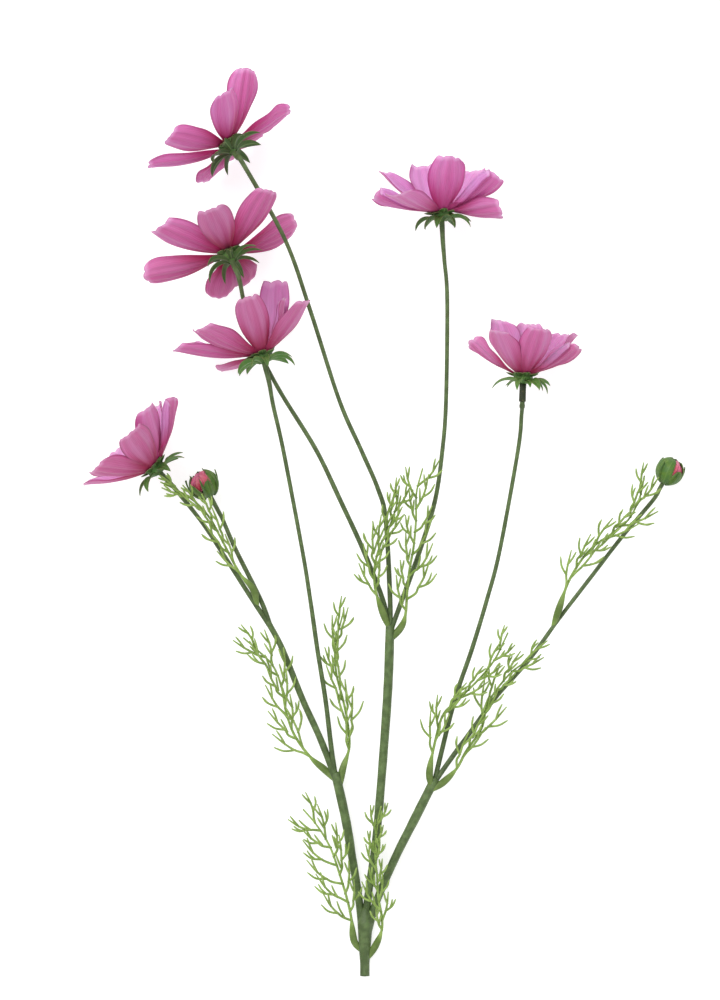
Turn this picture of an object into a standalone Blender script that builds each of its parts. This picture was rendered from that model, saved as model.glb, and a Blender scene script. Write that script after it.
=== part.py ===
"""A cut spray of garden cosmos, lying on a flat surface.

One stem parts into three branches and carries six open flowers, two buds and ten thread leaves.
World frame: X across the spray, Y along it from the cut end to the flowers, Z up off the surface.
The origin is on the flat underside of the stem, close to the cut end.
Lengths below are in millimetres and angles in degrees.
"""

import math
import random

import bmesh
import bpy
from mathutils import Vector

MM = 0.001

# Stem -------------------------------------------------------------------------------------------
TRUNK_RADIUS = 2.75
TRUNK_SIDES = 8
TRUNK_HEIGHT = TRUNK_RADIUS * math.cos(math.pi / TRUNK_SIDES)
BRANCH_RADIUS = 1.95
SHARED_RADIUS = 1.6
STALK_RADIUS = 1.15
STALK_SIDES = 6
NECK_RADIUS = 1.5
NECK_RUN = 11
ROOT_SWELL = 0.3
FORK_SWELL = 0.6

TRUNK = [(0, -10.5, TRUNK_HEIGHT), (0, -3, TRUNK_HEIGHT), (0, 9, 3.3), (0.2, 19, 4), (0.4, 27, 4.2)]
TRUNK_RADII = [TRUNK_RADIUS, TRUNK_RADIUS, 3.5, 4.3, 4.1]
BRANCHES = {
    "left": [(-1.2, 12, 3), (-3, 30, 3.8), (-6.9, 55, 5.5), (-10.7, 77, 7.5), (-16.2, 102, 10)],
    "middle": [(0, 12, 3.2), (1.4, 30, 4), (4.1, 50, 6.5), (7.4, 77, 9), (12.4, 143, 14), (14, 184, 17)],
    "right": [(1.2, 12, 3), (6.2, 30, 3.8), (16.8, 55, 5.5), (27.8, 77, 7), (38.8, 99, 9)],
}
# Each stalk runs from its fork to the point where its flower's own axis takes over.
STALKS = {
    "flower_1": [(13.9, 180, 17), (14, 198, 19), (11.6, 242, 24), (7.4, 259, 26), (-1.9, 280.5, 28.5),
                 (-14, 308, 31.5), (-30, 357.5, 38), (-43.7, 396, 44)],
    "flower_2": [(13.9, 180, 17), (10, 198, 18), (-0.8, 225.5, 19), (-13.5, 253, 20), (-26.7, 280.5, 21),
                 (-43.7, 308, 23), (-50.6, 320, 25), (-56.6, 332, 26.4), (-62.5, 347, 33.6), (-66, 360, 44)],
    "flower_3": [(-16, 99, 10), (-18.4, 115.5, 12.5), (-21.7, 143, 16), (-26.1, 170.5, 20), (-30, 198, 24),
                 (-34.4, 225.5, 28), (-44.8, 280.5, 34.5), (-50.3, 305, 37.5)],
    "flower_4": [(-52, 183, 16.5), (-61.9, 198, 19), (-79.5, 225.5, 24), (-90.5, 242, 29)],
    "flower_5": [(14, 180, 17), (20.6, 198, 18.5), (30.5, 225.5, 20), (38.8, 253, 22), (42.8, 280.5, 25),
                 (44.8, 308, 27), (45.4, 363, 33), (43.8, 385, 35)],
    "flower_6": [(38.5, 97, 9), (41.5, 110, 10.5), (49.8, 143, 13.5), (59.1, 170.5, 16.5), (67.4, 198, 19.5),
                 (74.5, 225.5, 22.5), (84.4, 280.5, 29), (86.3, 300, 31.5)],
    "bud_1": [(-52, 183, 16.5), (-57.5, 198, 16.5), (-71.2, 225.5, 12), (-78.4, 242, 9)],
    "bud_2": [(38.5, 97, 9), (49.8, 113, 9.5), (61.3, 128.7, 10), (72.9, 144.7, 10.5), (91, 165, 11),
              (107, 187, 11.5), (125.4, 211, 12), (141.6, 232, 12)],
}
SHARED_STALK = [(-16, 99, 10), (-24.5, 121, 12), (-34.4, 143, 13.5), (-45.4, 170.5, 15.5), (-53.5, 186, 17)]

# Flower heads -----------------------------------------------------------------------------------
# A head is measured along its own axis from its crown, the point where the petals spring from.
PETAL_THICKNESS = 0.7
PETAL_COLUMNS = (-1.0, -0.5, 0.0, 0.5, 1.0)
PETAL_ROWS = (0.0, 0.35, 0.7, 1.0)
ROOT_RADIUS = 5.0
CLAW_SHARE = 0.24
WIDEST = 0.7
TIP_NARROWING = 0.30
TIP_ROUNDING = 0.10
FINE_STEPS = 60
HUB_SIDES = 12
HUB_BEVEL = 0.9
HUB_RADIUS = 6.1
HUB_HALF_HEIGHT = 1.0
CALYX_RADIUS = 5.8
# (radius, height) from the stalk's end to the crown; the bracts grow from the band that BRACT_BAND names.
CALYX_PROFILE = [(1.9, -5.2), (4.3, -4.4), (5.8, -3.5), (5.8, -2.2), (5.0, -1.3)]
BRACT_BAND = 2
BRACT_LENGTH = 15.0
BRACT_HALF_WIDTH = 2.3
BRACT_SPREAD = 92
# (share of the length, share of the half width, half thickness); no width is a point.
BRACT_SHAPE = [(0.3, 1.0, 0.5), (0.68, 0.8, 0.42), (1.0, 0, 0)]
DISC_RADIUS = 4.3
DISC_BACK = 1.4
DISC_HEIGHT = 3.4
# The disc's outline as shares of its radius and of its height, from its back to its crown.
DISC_SHAPE = [(0.81, 0.0), (1.0, 0.26), (0.8, 0.7), (0.3, 1.0)]
DISC_SIDES = 14
FLORET_WOBBLE = 0.10
STALK_GAP = 0.5

# crown: plan position; bearing: clockwise from +Y; pitch: up from the surface.
# A petal is (clock, open, reach, twist): clock round the axis from the upper side, open away from
# the axis, reach as a share of the flower's petal length, twist about its own midrib.
# A bract is (clock, droop): droop is the angle from the axis that its tip turns back to.
FLOWERS = {
    "flower_1": dict(
        crown=(-75.0, 447.7), bearing=-38, pitch=-28, length=46, half_width=9.2,
        petals=[(19, 86, 0.91, 0), (50, 70, 0.92, -24), (123, 78, 0.9, 0), (152, 68, 0.85, 0),
                (-178, 66, 0.8, 0), (-150, 72, 0.78, 0), (-97, 56, 0.94, 0), (-28, 86, 0.96, 0)],
        bracts=[(0, 160), (45, 172), (85, 150), (125, 140), (168, 160),
                (-150, 140), (-100, 160), (-50, 172)]),
    "flower_2": dict(
        crown=(-74.5, 388.5), bearing=-22, pitch=-28, length=47, half_width=10.1,
        petals=[(40, 81, 0.98, -10), (118, 72, 0.9, -30), (1, 88, 1.0, 0), (-38, 76, 0.95, 0),
                (-95, 76, 0.94, 26), (-163, 92, 0.77, 0), (176, 90, 0.68, 0), (146, 60, 0.85, 0)],
        bracts=[(8, 168), (55, 150), (92, 140), (130, 150), (170, 165),
                (-150, 150), (-104, 172), (-50, 165)]),
    "flower_3": dict(
        crown=(-56.4, 333.3), bearing=-14, pitch=-10, length=49, half_width=9.4,
        petals=[(1, 60, 1.0, 0), (142, 29, 1.0, 25), (42, 68, 0.93, 10), (98, 27, 0.64, 0),
                (-40, 70, 0.93, 0), (-78, 73, 0.9, 0), (-122, 62, 0.9, 0), (-147, 84, 0.79, 0)],
        bracts=[(10, 176), (60, 150), (100, 170), (140, 140), (-140, 140),
                (-105, 150), (-72, 168), (-30, 160)]),
    "flower_4": dict(
        crown=(-115.8, 271.7), bearing=-43, pitch=0, length=41, half_width=10.0,
        petals=[(5, 57, 1.0, 0), (36, 48, 0.95, 0), (64, 56, 0.93, -25), (112, 44, 0.8, 0),
                (152, 52, 0.95, 0), (-170, 55, 0.95, 0), (-106, 58, 0.9, 0), (-38, 58, 0.97, 0)],
        bracts=[(20, 168), (62, 150), (94, 128), (135, 140), (180, 150),
                (-140, 140), (-95, 150), (-45, 165)]),
    "flower_5": dict(
        crown=(42.1, 411.4), bearing=-3, pitch=-3, length=44, half_width=10.9,
        petals=[(8, 50, 0.97, 0), (55, 60, 0.83, -40), (76, 94, 0.66, -42), (148, 52, 0.95, 0),
                (-164, 46, 0.97, 0), (-122, 50, 0.93, 0), (-80, 70, 0.75, 36), (-37, 77, 0.88, 0)],
        bracts=[(-8, 180), (32, 176), (72, 160), (110, 140), (150, 150),
                (-150, 150), (-92, 170), (-42, 176)]),
    "flower_6": dict(
        crown=(87.2, 322.3), bearing=2, pitch=0, length=42, half_width=9.0,
        petals=[(10, 54, 1.04, 0), (52, 62, 0.84, -38), (97, 46, 0.78, 0), (138, 52, 0.92, 0),
                (172, 46, 1.0, 0), (-158, 43, 1.0, 0), (-100, 56, 0.73, 45), (-25, 56, 1.01, 0)],
        bracts=[(-12, 168), (38, 160), (76, 176), (112, 140), (150, 150),
                (-155, 140), (-98, 160), (-55, 140)]),
}
BOW = 22.0
TIP_CURL = 14.0
CUP = 0.34
TOOTH = 0.03

# Buds -------------------------------------------------------------------------------------------
# tips: how far up the globe each sepal's point reaches, as a latitude, clockwise from the upper side.
BUDS = {
    "bud_1": dict(centre=(-88.8, 261.8, 13.5), bearing=-28, pitch=12, radius=8.0,
                  tips=[28, 52, 60, 50, 60, 52, 54, 32]),
    "bud_2": dict(centre=(168.6, 269.0, 12.5), bearing=30, pitch=8, radius=7.7,
                  tips=[66, 34, 62, 60, 66, 62, 68, 66]),
}
BUD_WALL = 1.0
BUD_NOTCH = 18
BUD_BASE = math.radians(70)
BUD_CRUMPLE = 0.10
BUD_CORE_SHARE = 0.88
# Rings of the sepals' outer side and inner side, from the root up. A ring above the middle is a share of
# the way to each sepal's point, and one below it a share of the way to the pole.
OUTER_RINGS = (-BUD_BASE / (math.pi / 2), -0.4, 0.0, 0.5, 1.0)
INNER_RINGS = (1.0, 0.5, 0.0, -0.25)
CORE_RINGS = (-0.2, 0.1, 0.35, 0.6, 0.85)

# Leaves -----------------------------------------------------------------------------------------
# A leaf is its midrib's route, its number of leaflets, their reach and their angle from the midrib to
# the left and to the right of the way it grows, and the seed of its irregularities. Leaflets leave the
# midrib to the left and to the right by turns.
CLASP_ROOT = 1.2
CLASP_HALF = 1.6
CLASP_LENGTH = 9.0
MIDRIB_HALF = 0.65
THREAD_HALF = 0.55
# A leaflet's three stretches and two forks as shares of its reach, and what each direction takes from
# the one before it and from the midrib's. Left and right leaflets rise unlike, so that they pass clear
# of each other.
ELBOW, KNEE, TIP = 0.38, 0.26, 0.36
OUTER_FORK, INNER_FORK = 0.46, 0.4
BEND = (0.8, 0.4)
AHEAD = (0.75, 0.4)
OUTER_WAY = (0.8, 0.6, -0.2)
INNER_WAY = (0.85, -0.4, 0.3)
RISES = [(0.2, 0.3), (0.42, 0.55)]
FIRST_GAP = 3
LAST_GAP = 10
REACH_RANGE = (0.8, 1.15)
ANGLE_RANGE = (0.75, 1.25)
ROOT_REACH = 1.1
REACH_LOSS = 0.45
LEAVES = {
    "leaf_base_left": ([(-5.8, 9, 3.8), (-7.4, 22, 7.5), (-10, 33.5, 9.8), (-14, 46.8, 10.8), (-19, 61, 10.8),
                        (-26, 72.6, 9.5), (-34, 82, 7.5)], 12, (27, 24), (48, 28), 18),
    "leaf_base_middle": ([(5.8, 6, 4), (9.2, 14.3, 9), (9.6, 22, 13), (7.6, 33.5, 14), (6.9, 45, 14.5),
                          (5.8, 60.5, 15), (7.4, 76, 16), (9.1, 84, 17.5)], 12, (20, 18), (28, 24), 14),
    "leaf_left_fork_left": ([(-21.6, 103.5, 8), (-30, 111, 10.5), (-38.7, 123, 12.5), (-43.4, 136, 13),
                             (-46, 150, 13.5), (-51, 162, 13.5), (-60.2, 171, 13), (-67, 177, 13)],
                            12, (28, 26), (24, 26), 13),
    "leaf_left_fork_right": ([(-12.2, 104, 9.5), (-8.5, 116.6, 10), (-9.6, 131, 11), (-12, 143, 12),
                              (-15.6, 157, 13), (-16.2, 172, 14), (-11.6, 192, 15)],
                             11, (26, 26), (15, 13), 1654),
    "leaf_middle_fork_left": ([(10.4, 190, 21), (6, 203.5, 26), (5.5, 216, 28), (8.5, 228, 30),
                               (13.5, 238, 32), (17.5, 250, 33), (19, 261, 34)],
                              13, (22, 22), (22, 22), 10),
    "leaf_middle_fork_right": ([(19.8, 182.5, 17.5), (22.5, 190, 22.5), (23.4, 202, 26), (24.6, 214, 28),
                                (27, 227.7, 30), (28.3, 243, 31), (28.5, 257, 32), (31.9, 270.5, 33)],
                               12, (22, 26), (28, 36), 5),
    "leaf_right_fork_left": ([(35.8, 102, 12.5), (38.2, 116.6, 16), (43, 134, 19.5), (50.5, 142, 21),
                              (62.3, 153.6, 23), (71.6, 165, 24), (79, 180, 25)], 11, (22, 22), (24, 22), 62),
    "leaf_right_fork_right": ([(43.4, 97, 9.5), (51, 105, 14), (56.2, 114.6, 15.5), (64.5, 127, 16.5),
                               (68.4, 141.5, 17.5), (79, 156, 18), (88.7, 163.5, 18.5), (96.5, 166.3, 19)],
                              11, (26, 24), (18, 17), 108),
    "leaf_bud_stalk": ([(107.2, 192.5, 15), (111.9, 206.5, 17), (118.4, 218.2, 18.5), (126.2, 227.4, 19),
                        (138, 235.8, 19), (146.1, 243, 19), (151.8, 254.5, 19), (154.4, 266.5, 19)],
                       11, (25, 26), (17, 20), 13),
    "leaf_flower_4_stalk": ([(-61.5, 204, 23), (-69, 213, 27), (-78.5, 231, 32), (-85, 243, 36),
                             (-93, 252, 40), (-102, 258, 44), (-112, 263, 47)], 10, (22, 22), (15, 15), 274),
}

COLOURS = {
    "petal": (0.55, 0.15, 0.31),
    "stem": (0.13, 0.19, 0.08),
    "leaf": (0.21, 0.34, 0.09),
    "calyx": (0.10, 0.19, 0.06),
    "disc": (0.62, 0.33, 0.04),
}


# What a union leaves is welded this close (metres) and joined across edges flatter than this.
WELD = 2e-6
FLAT = math.radians(0.5)


# Helpers ----------------------------------------------------------------------------------------
def clear_scene():
    for item in list(bpy.data.objects):
        bpy.data.objects.remove(item, do_unlink=True)


def make_material(name, colour, roughness):
    material = bpy.data.materials.new(name)
    material.use_nodes = True
    shader = material.node_tree.nodes["Principled BSDF"]
    shader.inputs["Base Color"].default_value = (*colour, 1)
    shader.inputs["Roughness"].default_value = roughness
    shader.inputs["Metallic"].default_value = 0
    return material


def smooth_route(points, steps):
    """Points of a Catmull-Rom curve through the route's points, steps to each stretch."""
    knots = [Vector(point) for point in points]
    knots = [2 * knots[0] - knots[1]] + knots + [2 * knots[-1] - knots[-2]]
    curve = []
    for a, b, c, d in zip(knots, knots[1:], knots[2:], knots[3:]):
        for step in range(steps):
            t = step / steps
            curve.append(0.5 * (2 * b + (c - a) * t + (2 * a - 5 * b + 4 * c - d) * t ** 2
                                + (3 * b - a - 3 * c + d) * t ** 3))
    return curve + [knots[-2]]


def solid(name, rings):
    """Closed body through rings of equal length, with a flat face at each end."""
    mesh = bmesh.new()
    loops = [[mesh.verts.new(point * MM) for point in ring] for ring in rings]
    count = len(loops[0])
    for low, high in zip(loops, loops[1:]):
        for i in range(count):
            j = (i + 1) % count
            mesh.faces.new((low[i], low[j], high[j], high[i]))
    mesh.faces.new(loops[0][::-1])
    mesh.faces.new(loops[-1])
    return finish_mesh(name, mesh)


def skin(mesh, loops, open_faces=(), capped=True):
    """Faces between loops of equal length and over their ends; open_faces are left for what grows there."""
    count = len(loops[0])
    for band, (low, high) in enumerate(zip(loops, loops[1:])):
        for i in range(count):
            if (band, i) not in open_faces:
                mesh.faces.new((low[i], low[(i + 1) % count], high[(i + 1) % count], high[i]))
    mesh.faces.new(loops[0][::-1])
    if capped:
        mesh.faces.new(loops[-1])


def grow(mesh, root, rings):
    """Limb from an open face outwards; a ring of one point closes it to a point. Gives back its loops."""
    loops = [root]
    for ring_points in rings:
        loop = [mesh.verts.new(point * MM) for point in ring_points]
        last = loops[-1]
        count = len(last)
        for i in range(count):
            j = (i + 1) % count
            if len(loop) == 1:
                mesh.faces.new((last[i], last[j], loop[0]))
            else:
                mesh.faces.new((last[i], last[j], loop[j], loop[i]))
        loops.append(loop)
    return loops


def finish_node(name, mesh, material):
    node = finish_mesh(name, mesh)
    node.data.materials.append(material)
    return node


def finish_mesh(name, mesh):
    bmesh.ops.triangulate(mesh, faces=mesh.faces[:])
    bmesh.ops.recalc_face_normals(mesh, faces=mesh.faces[:])
    if mesh.calc_volume(signed=True) < 0:
        bmesh.ops.reverse_faces(mesh, faces=mesh.faces[:])
    data = bpy.data.meshes.new(name)
    mesh.to_mesh(data)
    mesh.free()
    piece = bpy.data.objects.new(name, data)
    bpy.context.scene.collection.objects.link(piece)
    return piece


def ring(centre, across, up, half_width, half_height, sides):
    """Points round an ellipse, with a flat side and not a corner underneath where sides is 8."""
    points = []
    for i in range(sides):
        angle = 2 * math.pi * (i + 0.5) / sides
        points.append(centre + across * (half_width * math.cos(angle)) + up * (half_height * math.sin(angle)))
    return points


def tube(name, path, radii, sides):
    """Round bar along a path; radii are given at the path's points."""
    rings = []
    for i, point in enumerate(path):
        along = (path[min(i + 1, len(path) - 1)] - path[max(i - 1, 0)]).normalized()
        across = along.cross(Vector((0, 0, 1))).normalized()
        rings.append(ring(point, across, across.cross(along), radii[i], radii[i], sides))
    return solid(name, rings)


def turned(name, profile, sides, frame, wobble=0.0):
    """Body turned about the frame's axis from (radius, height) pairs; wobble swells every other side."""
    origin, axis, near, right = frame
    rings = []
    for radius, height in profile:
        points = []
        for i in range(sides):
            angle = 2 * math.pi * i / sides
            reach = radius * (1 + wobble * (-1) ** i)
            outward = near * math.cos(angle) + right * math.sin(angle)
            points.append(origin + axis * height + outward * reach)
        rings.append(points)
    return solid(name, rings)


def fuse(name, pieces, material, solver="EXACT"):
    """One body from overlapping pieces, by one union on a collection, rid of the slivers it leaves."""
    base = pieces[0]
    group = bpy.data.collections.new(name + "_pieces")
    bpy.context.scene.collection.children.link(group)
    for piece in pieces[1:]:
        group.objects.link(piece)
    union = base.modifiers.new("Union", "BOOLEAN")
    union.operation = "UNION"
    union.operand_type = "COLLECTION"
    union.collection = group
    union.solver = solver
    fused = bpy.data.meshes.new_from_object(base.evaluated_get(bpy.context.evaluated_depsgraph_get()))
    for piece in pieces:
        bpy.data.objects.remove(piece, do_unlink=True)
    bpy.data.collections.remove(group)
    mesh = bmesh.new()
    mesh.from_mesh(fused)
    bpy.data.meshes.remove(fused)
    bmesh.ops.remove_doubles(mesh, verts=mesh.verts[:], dist=WELD)
    bmesh.ops.dissolve_limit(mesh, angle_limit=FLAT, verts=mesh.verts[:], edges=mesh.edges[:])
    return finish_node(name, mesh, material)


def axes(bearing, pitch):
    """A head's axis, the direction on its upper side and the direction to its right."""
    b = math.radians(bearing)
    p = math.radians(pitch)
    axis = Vector((math.sin(b) * math.cos(p), math.cos(b) * math.cos(p), math.sin(p)))
    right = Vector((math.cos(b), -math.sin(b), 0))
    return axis, right.cross(axis), right


# Petals -----------------------------------------------------------------------------------------
def petal_outline(v):
    """Half width along the petal as a share of its widest."""
    if v < WIDEST:
        return CLAW_SHARE + (1 - CLAW_SHARE) * math.sin(math.pi / 2 * v / WIDEST)
    return 1 - TIP_NARROWING * tip_share(v)


def tip_share(v):
    """0 up to the petal's widest place and from there to 1 at its tip, slowly at first."""
    return max(0.0, (v - WIDEST) / (1 - WIDEST)) ** 2


def petal_points(flower, petal, frame):
    """Grid of points on the petal's middle surface, from root to tip."""
    origin, axis, near, right = frame
    clock, opening, reach, twist = petal
    length = flower["length"] * reach
    phi = math.radians(clock)
    radial = near * math.cos(phi) + right * math.sin(phi)
    sideways = axis.cross(radial)
    grid = []
    radius, height = ROOT_RADIUS, 0.0
    for step in range(FINE_STEPS + 1):
        v = step / FINE_STEPS
        slope = math.radians(opening + BOW * (0.5 - v) + TIP_CURL * tip_share(v))
        forward = axis * math.cos(slope) + radial * math.sin(slope)
        inward = axis * math.sin(slope) - radial * math.cos(slope)
        if step in [round(row * FINE_STEPS) for row in PETAL_ROWS]:
            grid.append(petal_row(flower, twist, v, length, forward, inward, sideways,
                                  origin + axis * height + radial * radius))
        radius += math.sin(slope) * length / FINE_STEPS
        height += math.cos(slope) * length / FINE_STEPS
    return grid


def petal_row(flower, twist, v, length, forward, inward, sideways, midrib):
    turn = math.radians(twist) * v
    across = sideways * math.cos(turn) + inward * math.sin(turn)
    up = inward * math.cos(turn) - sideways * math.sin(turn)
    half_width = flower["half_width"] * petal_outline(v)
    points = []
    for u in PETAL_COLUMNS:
        lift = CUP * half_width * u * u
        tip = v ** 6 * length * (TOOTH * math.cos(2 * math.pi * u) - TIP_ROUNDING * abs(u) ** 3)
        points.append(midrib + across * (half_width * u) + up * lift + forward * tip)
    return points


def blade(name, grid, thickness):
    """Closed blade round a grid of points, split into triangles alike on both faces."""
    rows, columns = len(grid), len(grid[0])
    top, bottom = [], []
    for i in range(rows):
        for j in range(columns):
            along = grid[min(i + 1, rows - 1)][j] - grid[max(i - 1, 0)][j]
            across = grid[i][min(j + 1, columns - 1)] - grid[i][max(j - 1, 0)]
            normal = across.cross(along).normalized() * (thickness / 2)
            top.append(grid[i][j] + normal)
            bottom.append(grid[i][j] - normal)
    mesh = bmesh.new()
    upper = [mesh.verts.new(point * MM) for point in top]
    lower = [mesh.verts.new(point * MM) for point in bottom]
    for i in range(rows - 1):
        for j in range(columns - 1):
            a = i * columns + j
            b, c, d = a + 1, a + columns + 1, a + columns
            for face in ((a, b, c), (a, c, d)):
                mesh.faces.new([upper[k] for k in face])
                mesh.faces.new([lower[k] for k in reversed(face)])
    edge = list(range(columns))
    edge += [i * columns + columns - 1 for i in range(1, rows)]
    edge += [(rows - 1) * columns + j for j in range(columns - 2, -1, -1)]
    edge += [i * columns for i in range(rows - 2, 0, -1)]
    for a, b in zip(edge, edge[1:] + edge[:1]):
        mesh.faces.new((upper[a], lower[a], lower[b]))
        mesh.faces.new((upper[a], lower[b], upper[b]))
    return finish_mesh(name, mesh)


def resting_height(flower):
    """Height of the crown at which the lowest petal just touches the surface."""
    frame = (Vector((0, 0, 0)), *axes(flower["bearing"], flower["pitch"]))
    lowest = 0.0
    for petal in flower["petals"]:
        for row in petal_points(flower, petal, frame):
            lowest = min(lowest, min(point.z for point in row))
    return PETAL_THICKNESS / 2 - lowest


def flower_frame(flower):
    crown = Vector((*flower["crown"], resting_height(flower)))
    return (crown, *axes(flower["bearing"], flower["pitch"]))


def add_petals(name, flower, frame, material):
    profile = [(HUB_RADIUS - HUB_BEVEL, -HUB_HALF_HEIGHT), (HUB_RADIUS, 0),
               (HUB_RADIUS - HUB_BEVEL, HUB_HALF_HEIGHT)]
    pieces = [turned("hub", profile, HUB_SIDES, frame)]
    for petal in flower["petals"]:
        pieces.append(blade("petal", petal_points(flower, petal, frame), PETAL_THICKNESS))
    return fuse(name + "_petals", pieces, material)


def add_calyx(name, flower, frame, material):
    """Cup with one side to each bract; the bracts grow out of its sides."""
    origin, axis, near, right = frame
    bracts = sorted(flower["bracts"])
    corners = []
    for (clock, _), (following, _) in zip(bracts[-1:] + bracts, bracts):
        gap = (following - clock) % 360
        corners.append(math.radians(following - gap / 2))
    mesh = bmesh.new()
    loops = []
    for radius, height in CALYX_PROFILE:
        loop = []
        for angle in corners:
            outward = near * math.cos(angle) + right * math.sin(angle)
            loop.append(mesh.verts.new((origin + axis * height + outward * radius) * MM))
        loops.append(loop)
    skin(mesh, loops, open_faces=[(BRACT_BAND, side) for side in range(len(corners))])
    low, high = loops[BRACT_BAND], loops[BRACT_BAND + 1]
    for side, (clock, droop) in enumerate(bracts):
        following = (side + 1) % len(bracts)
        root = [low[side], low[following], high[following], high[side]]
        grow(mesh, root, bract_rings(frame, clock, droop))
    return finish_node(name + "_calyx", mesh, material)


def bract_rings(frame, clock, droop):
    """Rings of a pointed bract that leaves the cup sideways and turns back along the stalk."""
    origin, axis, near, right = frame
    phi = math.radians(clock)
    radial = near * math.cos(phi) + right * math.sin(phi)
    sideways = axis.cross(radial)
    rings = []
    radius = CALYX_RADIUS
    height = (CALYX_PROFILE[BRACT_BAND][1] + CALYX_PROFILE[BRACT_BAND + 1][1]) / 2
    last = 0.0
    for v, width, half_thickness in BRACT_SHAPE:
        slope = math.radians(BRACT_SPREAD + (droop - BRACT_SPREAD) * (v + last) / 2)
        radius += math.sin(slope) * BRACT_LENGTH * (v - last)
        height += math.cos(slope) * BRACT_LENGTH * (v - last)
        last = v
        inward = axis * math.sin(slope) - radial * math.cos(slope)
        centre = origin + axis * height + radial * radius
        if width == 0:
            rings.append([centre])
            continue
        w, h = sideways * (width * BRACT_HALF_WIDTH), inward * half_thickness
        rings.append([centre - w - h, centre + w - h, centre + w + h, centre - w + h])
    return rings


def add_disc(name, frame, material):
    """Domed disc whose florets stand out as blunt points."""
    profile = [(DISC_RADIUS * width, DISC_BACK + DISC_HEIGHT * height) for width, height in DISC_SHAPE]
    disc = turned(name + "_disc", profile, DISC_SIDES, frame, FLORET_WOBBLE)
    disc.data.materials.append(material)


# Buds -------------------------------------------------------------------------------------------
def globe_point(frame, radius, clock, latitude):
    origin, axis, near, right = frame
    outward = near * math.cos(clock) + right * math.sin(clock)
    return origin + (outward * math.cos(latitude) + axis * math.sin(latitude)) * radius


def add_bud(name, bud, green, pink):
    """Globe of sepals whose pointed tips close over a crumple of petals."""
    frame = (Vector(bud["centre"]), *axes(bud["bearing"], bud["pitch"]))
    radius = bud["radius"]
    inner = radius - BUD_WALL
    sides = 2 * len(bud["tips"])
    clocks = [2 * math.pi * i / sides for i in range(sides)]
    rim = []
    for i in range(sides):
        rim.append(math.radians(BUD_NOTCH if i % 2 else bud["tips"][i // 2]))
    rings = []
    outer_and_inner = [(share, radius) for share in OUTER_RINGS] + [(share, inner) for share in INNER_RINGS]
    for share, ring_radius in outer_and_inner:
        ring_points = []
        for clock, top in zip(clocks, rim):
            latitude = top * share if share > 0 else share * math.pi / 2
            ring_points.append(globe_point(frame, ring_radius, clock, latitude))
        rings.append(ring_points)
    sepals = solid(name + "_sepals", rings)
    sepals.data.materials.append(green)
    core = inner * BUD_CORE_SHARE
    rings = []
    for share in CORE_RINGS:
        ring_points = []
        for i, clock in enumerate(clocks):
            crumple = 1 - BUD_CRUMPLE * (i % 2) * max(share, 0)
            ring_points.append(globe_point(frame, core * crumple, clock, share * math.pi / 2))
        rings.append(ring_points)
    petals = solid(name + "_petals", rings)
    petals.data.materials.append(pink)


# Stem and leaves --------------------------------------------------------------------------------
def tapered(name, route, start, end, sides, steps=2, neck=None):
    path = smooth_route(route, steps)
    last = len(path) - 1
    radii = [start + (end - start) * i / last for i in range(last + 1)]
    if neck is not None:
        radii[-1] = neck
        radii[-2] = (neck + radii[-2]) / 2
    return tube(name, path, radii, sides)


def add_stem(material, frames):
    pieces = [tube("trunk", [Vector(p) for p in TRUNK], TRUNK_RADII, TRUNK_SIDES)]
    for name, route in BRANCHES.items():
        pieces.append(tapered(name, route, BRANCH_RADIUS + ROOT_SWELL, BRANCH_RADIUS, TRUNK_SIDES,
                              neck=BRANCH_RADIUS + FORK_SWELL))
    pieces.append(tapered("shared", SHARED_STALK, BRANCH_RADIUS, SHARED_RADIUS, STALK_SIDES))
    for name, route in STALKS.items():
        origin, axis, back = frames[name]
        route = [Vector(p) for p in route]
        route += [origin + axis * (back - run_up) for run_up in (NECK_RUN, NECK_RUN / 3, 0)]
        pieces.append(tapered(name, route, STALK_RADIUS + ROOT_SWELL, STALK_RADIUS, STALK_SIDES,
                              neck=NECK_RADIUS))
    return fuse("stem", pieces, material)


def along_path(path, distance):
    """Point and direction at a distance along a path."""
    for start, end in zip(path, path[1:]):
        step = (end - start).length
        if distance <= step:
            break
        distance -= step
    return start.lerp(end, min(distance / step, 1.0)), (end - start).normalized()


def thread_ring(centre, way, outward, side):
    """Four corners round a thread that leaves the midrib on one side, in the order of its root's face."""
    back = (outward - way * outward.dot(way)).normalized()
    up = back.cross(way) * side
    corners = [back - up * side, back + up * side, -back + up * side, -back - up * side]
    return [centre + corner * THREAD_HALF for corner in corners]


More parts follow.
